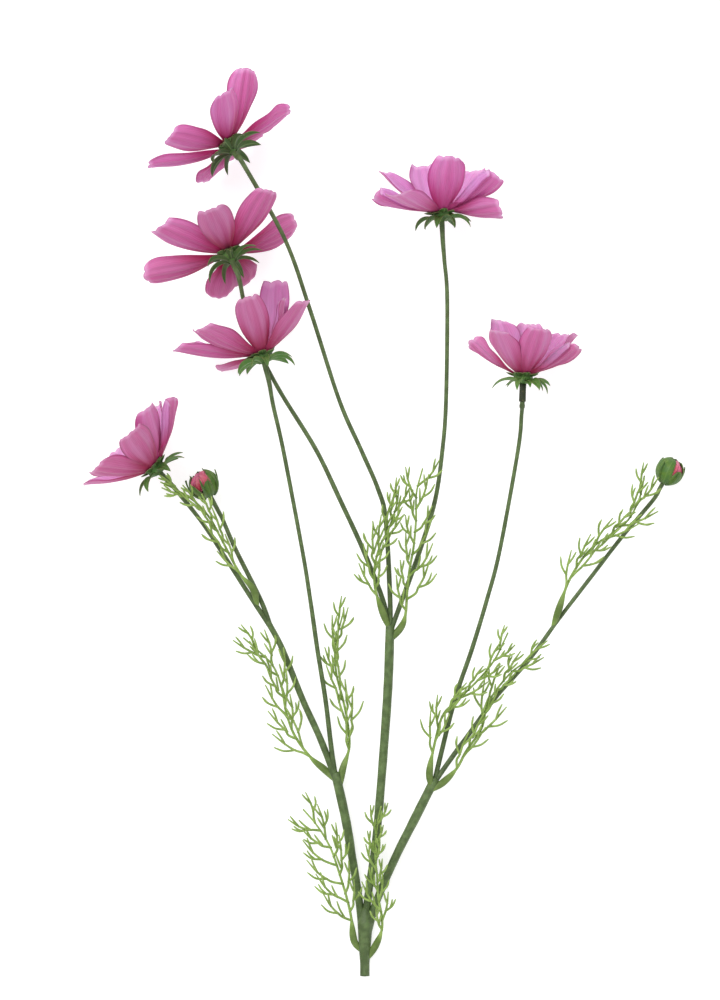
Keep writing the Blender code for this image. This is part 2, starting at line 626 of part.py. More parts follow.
def add_leaf(name, leaf, material):
    """Midrib with forked threads, grown out of its left and right sides by turns."""
    route, leaflets, reaches, spreads, seed = leaf
    rng = random.Random(seed)
    path = smooth_route(route, 4)
    length = sum((b - a).length for a, b in zip(path, path[1:]))
    stations = [(0.0, CLASP_ROOT), (CLASP_LENGTH / 3, CLASP_HALF), (CLASP_LENGTH, MIDRIB_HALF)]
    first = CLASP_LENGTH + FIRST_GAP
    open_faces = []
    for i in range(leaflets):
        middle = first + (length - first - LAST_GAP) * i / (leaflets - 1)
        open_faces.append((len(stations), (1, 3)[i % 2]))
        stations += [(middle - THREAD_HALF, MIDRIB_HALF), (middle + THREAD_HALF, MIDRIB_HALF)]
    mesh = bmesh.new()
    loops, places = [], []
    for distance, half in stations:
        centre, along = along_path(path, distance)
        across = along.cross(Vector((0, 0, 1))).normalized()
        loops.append([mesh.verts.new(point * MM) for point in
                      ring(centre, across, across.cross(along), half * math.sqrt(2), half * math.sqrt(2), 4)])
        places.append((centre, along, across))
    skin(mesh, loops, open_faces, capped=False)
    grow(mesh, loops[-1], [[path[-1]]])
    for band, face in open_faces:
        low, high = loops[band], loops[band + 1]
        root = [low[face], low[(face + 1) % 4], high[(face + 1) % 4], high[face]]
        side = 1 if face == 3 else -1
        centre, along, across = places[band]
        share = stations[band][0] / length
        left_or_right = 0 if side < 0 else 1
        reach = reaches[left_or_right] * (ROOT_REACH - REACH_LOSS * share) * rng.uniform(*REACH_RANGE)
        angle = math.radians(spreads[left_or_right] * rng.uniform(*ANGLE_RANGE))
        rise = Vector((0, 0, rng.uniform(*RISES[left_or_right])))
        way = (along * math.cos(angle) + across * (side * math.sin(angle)) + rise).normalized()
        add_leaflet(mesh, root, centre + along * THREAD_HALF, way, along, across * side, reach)
    return finish_node(name, mesh, material)


def add_leaflet(mesh, root, start, way, along, outward, reach):
    """Thread that bends forward twice; a tip forks off outwards at its elbow and inwards at its knee."""
    side = 1 if along.cross(Vector((0, 0, 1))).dot(outward) > 0 else -1
    bent = (way * BEND[0] + along * BEND[1]).normalized()
    ahead = (bent * AHEAD[0] + along * AHEAD[1]).normalized()
    elbow = start + way * reach * ELBOW
    knee = elbow + bent * reach * KNEE
    outer = (way * OUTER_WAY[0] + outward * OUTER_WAY[1] + Vector((0, 0, OUTER_WAY[2]))).normalized()
    inner = (bent * INNER_WAY[0] + outward * INNER_WAY[1] + Vector((0, 0, INNER_WAY[2]))).normalized()
    loop = fork_joint(mesh, root, elbow, way, outward, side, 0, elbow + outer * reach * OUTER_FORK)
    loop = fork_joint(mesh, loop, knee, bent, outward, side, 2, knee + inner * reach * INNER_FORK)
    grow(mesh, loop, [[knee + ahead * reach * TIP]])


def fork_joint(mesh, loop, place, way, outward, side, face, fork):
    """Grows a thread from a loop to just past place, where a tip forks off by one of its four faces."""
    low = grow(mesh, loop, [thread_ring(place - way * THREAD_HALF, way, outward, side)])[-1]
    corners = thread_ring(place + way * THREAD_HALF, way, outward, side)
    high = [mesh.verts.new(point * MM) for point in corners]
    for i in range(4):
        j = (i + 1) % 4
        if i == face:
            grow(mesh, [low[i], low[j], high[j], high[i]], [[fork]])
        else:
            mesh.faces.new((low[i], low[j], high[j], high[i]))
    return high


def main():
    clear_scene()
    petal = make_material("petal", COLOURS["petal"], 0.55)
    stem = make_material("stem", COLOURS["stem"], 0.5)
    leaf = make_material("leaf", COLOURS["leaf"], 0.5)
    calyx = make_material("calyx", COLOURS["calyx"], 0.55)
    disc = make_material("disc", COLOURS["disc"], 0.8)
    ends = {}
    for name, flower in FLOWERS.items():
        frame = flower_frame(flower)
        ends[name] = (frame[0], frame[1], CALYX_PROFILE[0][1] - STALK_GAP)
        add_petals(name, flower, frame, petal)
        add_calyx(name, flower, frame, calyx)
        add_disc(name, frame, disc)
    for name, bud in BUDS.items():
        axis = axes(bud["bearing"], bud["pitch"])[0]
        ends[name] = (Vector(bud["centre"]), axis, -bud["radius"] * math.sin(BUD_BASE) - STALK_GAP)
        add_bud(name, bud, calyx, petal)
    add_stem(stem, ends)
    for name, spec in LEAVES.items():
        add_leaf(name, spec, leaf)


main()
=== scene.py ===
"""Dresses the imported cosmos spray: fine petals, bracts, florets, buds, ridged stem and thread leaves.

Lengths are in millimetres and angles in degrees unless a comment says otherwise. The spray lies on a
surface: X across it, Y along it from the cut end to the flowers, Z up.
"""

import math
import random
from types import SimpleNamespace

import bpy
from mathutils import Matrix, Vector, noise


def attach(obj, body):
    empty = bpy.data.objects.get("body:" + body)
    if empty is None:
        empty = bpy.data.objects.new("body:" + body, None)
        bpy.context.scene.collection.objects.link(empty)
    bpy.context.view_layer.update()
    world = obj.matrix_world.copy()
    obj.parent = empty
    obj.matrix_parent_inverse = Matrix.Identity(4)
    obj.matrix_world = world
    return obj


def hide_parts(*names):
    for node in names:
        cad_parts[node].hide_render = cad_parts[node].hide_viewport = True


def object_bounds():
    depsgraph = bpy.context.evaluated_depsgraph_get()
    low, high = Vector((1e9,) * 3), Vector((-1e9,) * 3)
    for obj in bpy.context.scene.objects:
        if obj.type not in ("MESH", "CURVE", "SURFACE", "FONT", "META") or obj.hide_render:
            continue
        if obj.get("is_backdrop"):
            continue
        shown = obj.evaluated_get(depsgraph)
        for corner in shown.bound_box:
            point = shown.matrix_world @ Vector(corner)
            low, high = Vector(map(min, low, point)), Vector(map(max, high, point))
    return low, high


bl_info = {
    "name": "Cosmos Spray Dressing",
    "version": (1, 0, 0),
    "blender": (4, 5, 0),
    "location": "View3D > Sidebar > Cosmos",
    "description": "Builds the fine surfaces of a cut cosmos spray round its packed solids",
    "category": "Object",
}

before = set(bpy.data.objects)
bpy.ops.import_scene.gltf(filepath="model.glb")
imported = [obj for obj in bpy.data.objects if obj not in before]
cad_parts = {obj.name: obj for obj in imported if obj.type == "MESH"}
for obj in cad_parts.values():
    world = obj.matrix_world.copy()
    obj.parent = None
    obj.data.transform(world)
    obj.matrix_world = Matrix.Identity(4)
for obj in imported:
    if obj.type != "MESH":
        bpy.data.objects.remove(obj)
CAD_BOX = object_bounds()
MM = 0.001
BODY = "root"
UP = Vector((0, 0, 1))

# Layout, the same as the solids' own -------------------------------------------------------------
TRUNK_RADIUS = 2.75
TRUNK_HEIGHT = TRUNK_RADIUS * math.cos(math.pi / 8)
BRANCH_RADIUS = 1.95
SHARED_RADIUS = 1.6
STALK_RADIUS = 1.15
NECK_RADIUS = 1.5
NECK_RUN = 11
ROOT_SWELL = 0.3
FORK_SWELL = 0.6
TRUNK = [(0, -10.5, TRUNK_HEIGHT), (0, -3, TRUNK_HEIGHT), (0, 9, 3.3), (0.2, 19, 4), (0.4, 27, 4.2)]
TRUNK_RADII = [TRUNK_RADIUS, TRUNK_RADIUS, 3.5, 4.3, 2.2]
BRANCHES = {
    "left": [(-1.2, 12, 3), (-3, 30, 3.8), (-6.9, 55, 5.5), (-10.7, 77, 7.5), (-16.2, 102, 10)],
    "middle": [(0, 12, 3.2), (1.4, 30, 4), (4.1, 50, 6.5), (7.4, 77, 9), (12.4, 143, 14), (14, 184, 17)],
    "right": [(1.2, 12, 3), (6.2, 30, 3.8), (16.8, 55, 5.5), (27.8, 77, 7), (38.8, 99, 9)],
}
SHARED_STALK = [(-16, 99, 10), (-24.5, 121, 12), (-34.4, 143, 13.5), (-45.4, 170.5, 15.5), (-53.5, 186, 17)]
STALKS = {
    "flower_1": [(13.9, 180, 17), (14, 198, 19), (11.6, 242, 24), (7.4, 259, 26), (-1.9, 280.5, 28.5),
                 (-14, 308, 31.5), (-30, 357.5, 38), (-43.7, 396, 44)],
    "flower_2": [(13.9, 180, 17), (10, 198, 18), (-0.8, 225.5, 19), (-13.5, 253, 20), (-26.7, 280.5, 21),
                 (-43.7, 308, 23), (-50.6, 320, 25), (-56.6, 332, 26.4), (-62.5, 347, 33.6), (-66, 360, 44)],
    "flower_3": [(-16, 99, 10), (-18.4, 115.5, 12.5), (-21.7, 143, 16), (-26.1, 170.5, 20), (-30, 198, 24),
                 (-34.4, 225.5, 28), (-44.8, 280.5, 34.5), (-50.3, 305, 37.5)],
    "flower_4": [(-52, 183, 16.5), (-61.9, 198, 19), (-79.5, 225.5, 24), (-90.5, 242, 29)],
    "flower_5": [(14, 180, 17), (20.6, 198, 18.5), (30.5, 225.5, 20), (38.8, 253, 22), (42.8, 280.5, 25),
                 (44.8, 308, 27), (45.4, 363, 33), (43.8, 385, 35)],
    "flower_6": [(38.5, 97, 9), (41.5, 110, 10.5), (49.8, 143, 13.5), (59.1, 170.5, 16.5), (67.4, 198, 19.5),
                 (74.5, 225.5, 22.5), (84.4, 280.5, 29), (86.3, 300, 31.5)],
    "bud_1": [(-52, 183, 16.5), (-57.5, 198, 16.5), (-71.2, 225.5, 12), (-78.4, 242, 9)],
    "bud_2": [(38.5, 97, 9), (49.8, 113, 9.5), (61.3, 128.7, 10), (72.9, 144.7, 10.5), (91, 165, 11),
              (107, 187, 11.5), (125.4, 211, 12), (141.6, 232, 12)],
}

# A petal is (clock, open, reach, twist) and a bract is (clock, droop), as in the solids.
FLOWERS = {
    "flower_1": dict(
        crown=(-75.0, 447.7), bearing=-38, pitch=-28, length=46, half_width=9.2,
        petals=[(19, 86, 0.91, 0), (50, 70, 0.92, -24), (123, 78, 0.9, 0), (152, 68, 0.85, 0),
                (-178, 66, 0.8, 0), (-150, 72, 0.78, 0), (-97, 56, 0.94, 0), (-28, 86, 0.96, 0)],
        bracts=[(0, 160), (45, 172), (85, 150), (125, 140), (168, 160),
                (-150, 140), (-100, 160), (-50, 172)]),
    "flower_2": dict(
        crown=(-74.5, 388.5), bearing=-22, pitch=-28, length=47, half_width=10.1,
        petals=[(40, 81, 0.98, -10), (118, 72, 0.9, -30), (1, 88, 1.0, 0), (-38, 76, 0.95, 0),
                (-95, 76, 0.94, 26), (-163, 92, 0.77, 0), (176, 90, 0.68, 0), (146, 60, 0.85, 0)],
        bracts=[(8, 168), (55, 150), (92, 140), (130, 150), (170, 165),
                (-150, 150), (-104, 172), (-50, 165)]),
    "flower_3": dict(
        crown=(-56.4, 333.3), bearing=-14, pitch=-10, length=49, half_width=9.4,
        petals=[(1, 60, 1.0, 0), (142, 29, 1.0, 25), (42, 68, 0.93, 10), (98, 27, 0.64, 0),
                (-40, 70, 0.93, 0), (-78, 73, 0.9, 0), (-122, 62, 0.9, 0), (-147, 84, 0.79, 0)],
        bracts=[(10, 176), (60, 150), (100, 170), (140, 140), (-140, 140),
                (-105, 150), (-72, 168), (-30, 160)]),
    "flower_4": dict(
        crown=(-115.8, 271.7), bearing=-43, pitch=0, length=41, half_width=10.0,
        petals=[(5, 57, 1.0, 0), (36, 48, 0.95, 0), (64, 56, 0.93, -25), (112, 44, 0.8, 0),
                (152, 52, 0.95, 0), (-170, 55, 0.95, 0), (-106, 58, 0.9, 0), (-38, 58, 0.97, 0)],
        bracts=[(20, 168), (62, 150), (94, 128), (135, 140), (180, 150),
                (-140, 140), (-95, 150), (-45, 165)]),
    "flower_5": dict(
        crown=(42.1, 411.4), bearing=-3, pitch=-3, length=44, half_width=10.9,
        petals=[(8, 50, 0.97, 0), (55, 60, 0.83, -40), (76, 94, 0.66, -42), (148, 52, 0.95, 0),
                (-164, 46, 0.97, 0), (-122, 50, 0.93, 0), (-80, 70, 0.75, 36), (-37, 77, 0.88, 0)],
        bracts=[(-8, 180), (32, 176), (72, 160), (110, 140), (150, 150),
                (-150, 150), (-92, 170), (-42, 176)]),
    "flower_6": dict(
        crown=(87.2, 322.3), bearing=2, pitch=0, length=42, half_width=9.0,
        petals=[(10, 54, 1.04, 0), (52, 62, 0.84, -38), (97, 46, 0.78, 0), (138, 52, 0.92, 0),
                (172, 46, 1.0, 0), (-158, 43, 1.0, 0), (-100, 56, 0.73, 45), (-25, 56, 1.01, 0)],
        bracts=[(-12, 168), (38, 160), (76, 176), (112, 140), (150, 150),
                (-155, 140), (-98, 160), (-55, 140)]),
}
PETAL_THICKNESS = 0.7
ROOT_RADIUS = 5.0
CLAW_SHARE = 0.24
WIDEST = 0.7
TIP_NARROWING = 0.30
FINE_STEPS = 60
BOW = 22.0
TIP_CURL = 14.0
CUP = 0.34
TOOTH = 0.03
TIP_ROUNDING = 0.10
CALYX_END = -5.2
BRACT_LENGTH = 15.0
BRACT_HALF_WIDTH = 2.3
BRACT_SPREAD = 92
STALK_GAP = 0.5
DISC_BACK = 1.4

BUDS = {
    "bud_1": dict(centre=(-88.8, 261.8, 13.5), bearing=-28, pitch=12, radius=8.0,
                  tips=[28, 52, 60, 50, 60, 52, 54, 32]),
    "bud_2": dict(centre=(168.6, 269.0, 12.5), bearing=30, pitch=8, radius=7.7,
                  tips=[66, 34, 62, 60, 66, 62, 68, 66]),
}
BUD_BASE = 70

# A leaf is its midrib's route, its count of leaflets, their reach and their angle from the midrib, each to
# the left and to the right, and its seed.
CLASP_LENGTH = 9.0
LEAVES = {
    "leaf_base_left": ([(-5.8, 9, 3.8), (-7.4, 22, 7.5), (-10, 33.5, 9.8), (-14, 46.8, 10.8), (-19, 61, 10.8),
                        (-26, 72.6, 9.5), (-34, 82, 7.5)], 12, (27, 24), (48, 28), 18),
    "leaf_base_middle": ([(5.8, 6, 4), (9.2, 14.3, 9), (9.6, 22, 13), (7.6, 33.5, 14), (6.9, 45, 14.5),
                          (5.8, 60.5, 15), (7.4, 76, 16), (9.1, 84, 17.5)], 12, (20, 18), (28, 24), 14),
    "leaf_left_fork_left": ([(-21.6, 103.5, 8), (-30, 111, 10.5), (-38.7, 123, 12.5), (-43.4, 136, 13),
                             (-46, 150, 13.5), (-51, 162, 13.5), (-60.2, 171, 13), (-67, 177, 13)],
                            12, (28, 26), (24, 26), 13),
    "leaf_left_fork_right": ([(-12.2, 104, 9.5), (-8.5, 116.6, 10), (-9.6, 131, 11), (-12, 143, 12),
                              (-15.6, 157, 13), (-16.2, 172, 14), (-11.6, 192, 15)],
                             11, (26, 26), (15, 13), 1654),
    "leaf_middle_fork_left": ([(10.4, 190, 21), (6, 203.5, 26), (5.5, 216, 28), (8.5, 228, 30),
                               (13.5, 238, 32), (17.5, 250, 33), (19, 261, 34)],
                              13, (22, 22), (22, 22), 10),
    "leaf_middle_fork_right": ([(19.8, 182.5, 17.5), (22.5, 190, 22.5), (23.4, 202, 26), (24.6, 214, 28),
                                (27, 227.7, 30), (28.3, 243, 31), (28.5, 257, 32), (31.9, 270.5, 33)],
                               12, (22, 26), (28, 36), 5),
    "leaf_right_fork_left": ([(35.8, 102, 12.5), (38.2, 116.6, 16), (43, 134, 19.5), (50.5, 142, 21),
                              (62.3, 153.6, 23), (71.6, 165, 24), (79, 180, 25)], 11, (22, 22), (24, 22), 62),
    "leaf_right_fork_right": ([(43.4, 97, 9.5), (51, 105, 14), (56.2, 114.6, 15.5), (64.5, 127, 16.5),
                               (68.4, 141.5, 17.5), (79, 156, 18), (88.7, 163.5, 18.5), (96.5, 166.3, 19)],
                              11, (26, 24), (18, 17), 108),
    "leaf_bud_stalk": ([(107.2, 192.5, 15), (111.9, 206.5, 17), (118.4, 218.2, 18.5), (126.2, 227.4, 19),
                        (138, 235.8, 19), (146.1, 243, 19), (151.8, 254.5, 19), (154.4, 266.5, 19)],
                       11, (25, 26), (17, 20), 13),
    "leaf_flower_4_stalk": ([(-61.5, 204, 23), (-69, 213, 27), (-78.5, 231, 32), (-85, 243, 36),
                             (-93, 252, 40), (-102, 258, 44), (-112, 263, 47)], 10, (22, 22), (15, 15), 274),
}


# Settings that a user would change ---------------------------------------------------------------
def length_setting(name, description, millimetres):
    """Length that a user can set; it is kept in metres."""
    return bpy.props.FloatProperty(name=name, description=description, default=millimetres * MM,
                                   min=0.0, precision=5, unit="LENGTH")


def colour_setting(name, description, hex_colour):
    """Colour that a user can set; it is kept linear."""
    return bpy.props.FloatVectorProperty(name=name, description=description, default=linear(hex_colour),
                                         size=3, min=0.0, max=1.0, subtype="COLOR")


def linear(hex_colour):
    """Linear colour of an sRGB hex value such as "#9C2B62"."""
    channels = []
    for i in (1, 3, 5):
        value = int(hex_colour[i:i + 2], 16) / 255
        channels.append(value / 12.92 if value <= 0.04045 else ((value + 0.055) / 1.055) ** 2.4)
    return tuple(channels)


class CosmosPetalSettings(bpy.types.PropertyGroup):
    thickness: length_setting("Thickness", "Petal thickness at its middle", 0.34)
    pleat: length_setting("Pleats", "Depth of the long pleats", 0.42)
    wave: length_setting("Wave", "Lift of the waved edges", 1.1)
    claw: colour_setting("Claw", "Colour at the petal's root", "#A0144A")
    back: colour_setting("Back", "Colour of the petal's back", "#C26099")
    face: colour_setting("Face", "Colour of the petal's upper face", "#C280B8")
    young: colour_setting("Young", "Colour of the petals in a bud", "#E4718B")


class CosmosGreenSettings(bpy.types.PropertyGroup):
    bract_thickness: length_setting("Bract thickness", "Thickness of a bract", 0.5)
    thread_width: length_setting("Thread width", "Width of a leaf thread", 1.5)
    midrib_width: length_setting("Midrib width", "Width of a leaf's midrib at its middle", 1.7)
    stem: colour_setting("Stem", "Colour of the stem", "#4E6138")
    leaf: colour_setting("Leaf", "Colour of the thread leaves", "#7B9747")
    bract: colour_setting("Bract", "Colour of the bracts", "#55893B")
    sepal: colour_setting("Sepal", "Colour of a bud's sepals", "#4A7030")


class CosmosDiscSettings(bpy.types.PropertyGroup):
    florets: bpy.props.IntProperty(name="Florets", description="Florets on a disc", default=96, min=10)
    pollen: colour_setting("Pollen", "Colour of the florets' tips", "#F2B21C")
    tube: colour_setting("Tube", "Colour of the florets' tubes", "#B4741A")


class CosmosStageSettings(bpy.types.PropertyGroup):
    lens: bpy.props.FloatProperty(name="Lens", description="Focal length of the long lens", default=300.0,
                                  min=1.0, subtype="DISTANCE_CAMERA")
    width: length_setting("Field width", "Width seen at the flowers' height", 396.0)
    floor: colour_setting("Floor", "Colour of the floor", "#BCBCBA")
    glow: bpy.props.FloatProperty(name="Glow", description="Light that the floor gives off by itself",
                                  default=0.7, min=0.0)


SETTINGS = {
    "cosmos_petals": CosmosPetalSettings,
    "cosmos_greens": CosmosGreenSettings,
    "cosmos_discs": CosmosDiscSettings,
    "cosmos_stage": CosmosStageSettings,
}


# Curves and directions ---------------------------------------------------------------------------
def smooth_route(points, steps):
    """Points of a Catmull-Rom curve through the route's points, steps to each stretch."""
    knots = [Vector(point) for point in points]
    knots = [2 * knots[0] - knots[1]] + knots + [2 * knots[-1] - knots[-2]]
    curve = []
    for a, b, c, d in zip(knots, knots[1:], knots[2:], knots[3:]):
        for step in range(steps):
            t = step / steps
            curve.append(0.5 * (2 * b + (c - a) * t + (2 * a - 5 * b + 4 * c - d) * t ** 2
                                + (3 * b - a - 3 * c + d) * t ** 3))
    return curve + [knots[-2]]


def along_path(path, distance):
    """Point and direction at a distance along a path."""
    for start, end in zip(path, path[1:]):
        step = (end - start).length
        if distance <= step:
            break
        distance -= step
    return start.lerp(end, min(distance / step, 1.0)), (end - start).normalized()


def directions(path):
    """Direction of travel at each point of a path."""
    return [(after - before).normalized() for before, after in zip(path[:1] + path, path[1:] + path[-1:])]


def heading(shares, *ways):
    """Direction made of a share of each way."""
    return sum((way * share for way, share in zip(ways, shares)), Vector()).normalized()


def turned(first, second, angle):
    """Two directions at right angles, turned by an angle in radians from the first towards the second."""
    cosine, sine = math.cos(angle), math.sin(angle)
    return first * cosine + second * sine, second * cosine - first * sine


def axes(bearing, pitch):
    """A head's axis, the direction on its upper side and the direction to its right."""
    b = math.radians(bearing)
    p = math.radians(pitch)
    axis = Vector((math.sin(b) * math.cos(p), math.cos(b) * math.cos(p), math.sin(p)))
    right = Vector((math.cos(b), -math.sin(b), 0))
    return axis, right.cross(axis), right


def beside_axis(where, clock, reach, height):
    """Point at a height on a head's axis and a reach away from it; clock is in radians."""
    origin, axis, near, right = where
    return origin + axis * height + turned(near, right, clock)[0] * reach


def clocks(count):
    """Angles in radians that part a circle evenly."""
    return [2 * math.pi * k / count for k in range(count)]


def ease(value, low, high):
    """Smooth step from 0 at low to 1 at high."""
    t = min(max((value - low) / (high - low), 0.0), 1.0)
    return t * t * (3 - 2 * t)


def drawn(rng, ranges):
    """A value from each named range, drawn in the table's order."""
    return SimpleNamespace(**{name: rng.uniform(*limits) for name, limits in ranges.items()})


# Mesh drafts -------------------------------------------------------------------------------------
BLADE_EDGE_LOSS = 0.65
TUBE_TIP, TUBE_ROOT = 0.6, 0.1


class Draft:
    """A piece while it is put together: points in millimetres, faces, and named numbers at each point."""

    def __init__(self, *fields):
        self.points = []
        self.faces = []
        self.fields = {name: [] for name in fields}

    def add(self, point, **values):
        self.points.append(point)
        for name, held in self.fields.items():
            held.append(values.get(name, 0.0))
        return len(self.points) - 1

    def grid(self, rows, flip=False):
        """Quads between rows of point numbers of equal length."""
        for low, high in zip(rows, rows[1:]):
            for a, b, c, d in zip(low, low[1:], high[1:], high):
                self.faces.append((d, c, b, a) if flip else (a, b, c, d))

    def piece(self, name, material, node):
        """Finished object in the scene, riding on the spray's body in the place of a node."""
        mesh = bpy.data.meshes.new(name)
        mesh.from_pydata([point * MM for point in self.points], [], self.faces)
        for field, values in self.fields.items():
            mesh.attributes.new(field, "FLOAT", "POINT").data.foreach_set("value", values)
        mesh.shade_smooth()
        mesh.materials.append(material)
        made = bpy.data.objects.new(name, mesh)
        bpy.context.scene.collection.objects.link(made)
        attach(made, BODY)
        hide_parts(node)


def add_blade(draft, grid, thickness, **values):
    """Closed thin blade round a grid of points; its edge is about a third as thick as its middle."""
    rows, columns = len(grid), len(grid[0])
    upper, lower = [], []
    for i in range(rows):
        over, under = [], []
        for j in range(columns):
            along = grid[min(i + 1, rows - 1)][j] - grid[max(i - 1, 0)][j]
            across = grid[i][min(j + 1, columns - 1)] - grid[i][max(j - 1, 0)]
            u = 2 * j / (columns - 1) - 1
            v = i / (rows - 1)
            half = thickness / 2 * (1 - BLADE_EDGE_LOSS * max(abs(u) ** 3, v ** 6))
            normal = across.cross(along).normalized() * half
            over.append(draft.add(grid[i][j] + normal, along=v, across=u, face=0.0, **values))
            under.append(draft.add(grid[i][j] - normal, along=v, across=u, face=1.0, **values))
        upper.append(over)
        lower.append(under)
    draft.grid(upper)
    draft.grid(lower, flip=True)
    rim = [(upper[0][j], lower[0][j]) for j in range(columns)]
    rim += [(upper[i][-1], lower[i][-1]) for i in range(1, rows)]
    rim += [(upper[-1][j], lower[-1][j]) for j in range(columns - 2, -1, -1)]
    rim += [(upper[i][0], lower[i][0]) for i in range(rows - 2, 0, -1)]
    for (a, b), (c, d) in zip(rim, rim[1:] + rim[:1]):
        draft.faces.append((a, b, d, c))


def add_loops(draft, loops, tip=None, root=None):
    """Skin over closed loops of point numbers; tip and root are point numbers that close its ends."""
    for low, high in zip(loops, loops[1:]):
        for i in range(len(low)):
            j = (i + 1) % len(low)
            draft.faces.append((low[i], low[j], high[j], high[i]))
    for loop, end, turn in ((loops[0], root, -1), (loops[-1], tip, 1)):
        if end is None:
            draft.faces.append(tuple(loop[::turn]))
            continue
        for i in range(len(loop)):
            pair = (loop[i], loop[(i + 1) % len(loop)])[::turn]
            draft.faces.append((*pair, end))


def add_tube(draft, path, widths, sides, flatten=1.0, ridges=0, ridge_depth=0.0, **values):
    """Tube along a path; widths are half widths at its points, and flatten is its height over its width."""
    loops = []
    ways = directions(path)
    for i, (point, along) in enumerate(zip(path, ways)):
        across = along.cross(UP).normalized()
        up = across.cross(along)
        loop = []
        for k in range(sides):
            angle = 2 * math.pi * (k + 0.5) / sides
            radius = widths[i] * (1 + ridge_depth * math.cos(ridges * angle))
            place = point + across * (radius * math.cos(angle)) + up * (radius * flatten * math.sin(angle))
            loop.append(draft.add(place, along=i / (len(path) - 1), **values))
        loops.append(loop)
    tip = draft.add(path[-1] + ways[-1] * widths[-1] * TUBE_TIP, along=1.0, **values)
    root = draft.add(path[0] - ways[0] * widths[0] * TUBE_ROOT, along=0.0, **values)
    add_loops(draft, loops, tip, root)
    return loops


# Materials ---------------------------------------------------------------------------------------
# The output that a node hands on where it isn't its first: object coordinates, an attribute's number and
# a mixed colour.
MAIN_OUTPUT = {"ShaderNodeTexCoord": 3, "ShaderNodeAttribute": 2, "ShaderNodeMix": 2}
EASED = {"interpolation_type": "SMOOTHSTEP"}
PLUS, MINUS, TIMES, POWER, ABSOLUTE, COSINE = (
    {"operation": name} for name in ("ADD", "SUBTRACT", "MULTIPLY", "POWER", "ABSOLUTE", "COSINE"))


def connect(tree, node, socket):
    """Links a node's main output to a socket."""
    tree.links.new(node.outputs[MAIN_OUTPUT.get(node.bl_idname, 0)], socket)


def add_node(tree, kind, settings=None, **sockets):
    """Adds a shader node with its properties; a socket, by name or as _ and its number, takes a value or
    another node."""
    made = tree.nodes.new("ShaderNode" + kind)
    for name, value in (settings or {}).items():
        setattr(made, name, value)
    for name, value in sockets.items():
        socket = made.inputs[int(name[1:])] if name[1:].isdigit() else made.inputs[name.replace("_", " ")]
        if isinstance(value, bpy.types.Node):
            connect(tree, value, socket)
        else:
            socket.default_value = value
    return made


def opaque(colour):
    """Colour with full cover, from an sRGB hex value or a linear colour."""
    return (*(linear(colour) if isinstance(colour, str) else colour), 1.0)


def layered(tree, body, *layers):
    """Body colour under layers of others; a layer is how much of it shows and its colour."""
    for share, colour in layers:
        body = add_node(tree, "Mix", {"data_type": "RGBA"}, _0=share, _6=body, _7=opaque(colour))
    return body


def new_material(name, **sockets):
    """Material with a principled shader; gives the material, its tree, the shader and object coordinates."""
    material = bpy.data.materials.new(name)
    material.use_nodes = True
    tree = material.node_tree
    tree.nodes.clear()
    shader = add_node(tree, "BsdfPrincipled", **sockets)
    add_node(tree, "OutputMaterial", Surface=shader)
    return material, tree, shader, add_node(tree, "TexCoord")


def blotches(size_mm):
    """Scale of a noise whose blotches are about a size across."""
    return 1 / (size_mm * MM)


# A middling petal, which the widths and lengths of its patterns, all in millimetres, are set against.
PETAL_HALF_WIDTH, PETAL_LENGTH = 10.5, 45.0
VEIN_SPACING = 0.97
# Width, length and detail of the soft streaks and of the fibres, and how far a petal's tint moves them.
STREAKS = ((5.83, 90.0, 1.0), (0.875, 56.0, 3.0))
TINT_SHIFT = 31.0


def claw_share(tree, along, out, depth):
    """How much of the claw's colour shows; it runs further up the petal's sides than up its middle."""
    sides = add_node(tree, "Math", TIMES, _0=add_node(tree, "Math", POWER, _0=out, _1=2.0), _1=0.24)
    claw = add_node(tree, "MapRange", EASED, Value=add_node(tree, "Math", MINUS, _0=along, _1=sides),
                    From_Min=-0.02, From_Max=0.58, To_Min=1.0, To_Max=0.0)
    return add_node(tree, "Math", TIMES, _0=claw, _1=depth)


def petal_veins(tree, place, across):
    """Fine veins, about 22 on a petal, that fan out with it and wander by a fraction of their spacing."""
    wander = add_node(tree, "TexNoise", Vector=place, Scale=blotches(5.0), Detail=3.0)
    fan = add_node(tree, "Math", TIMES, _0=across, _1=math.pi * PETAL_HALF_WIDTH / VEIN_SPACING)
    phase = add_node(tree, "Math", PLUS, _0=fan, _1=add_node(tree, "Math", TIMES, _0=wander, _1=4.0))
    waves = add_node(tree, "Math", ABSOLUTE, _0=add_node(tree, "Math", COSINE, _0=phase))
    return add_node(tree, "Math", POWER, _0=waves, _1=3.0)


def petal_streaks(tree, along, across, tint):
    """Soft streaks and finer fibres that run lengthwise, in other places on each petal; the soft streaks
    also lay down painted sheen.
    """
    drawn_out = add_node(tree, "CombineXYZ", X=across, Y=along, Z=tint)
    for wide, tall, detail in STREAKS:
        scaled = add_node(tree, "VectorMath", TIMES, _0=drawn_out,
                          _1=(PETAL_HALF_WIDTH / wide, PETAL_LENGTH / tall, TINT_SHIFT))
        yield add_node(tree, "TexNoise", Scale=1.0, Detail=detail, Vector=scaled)


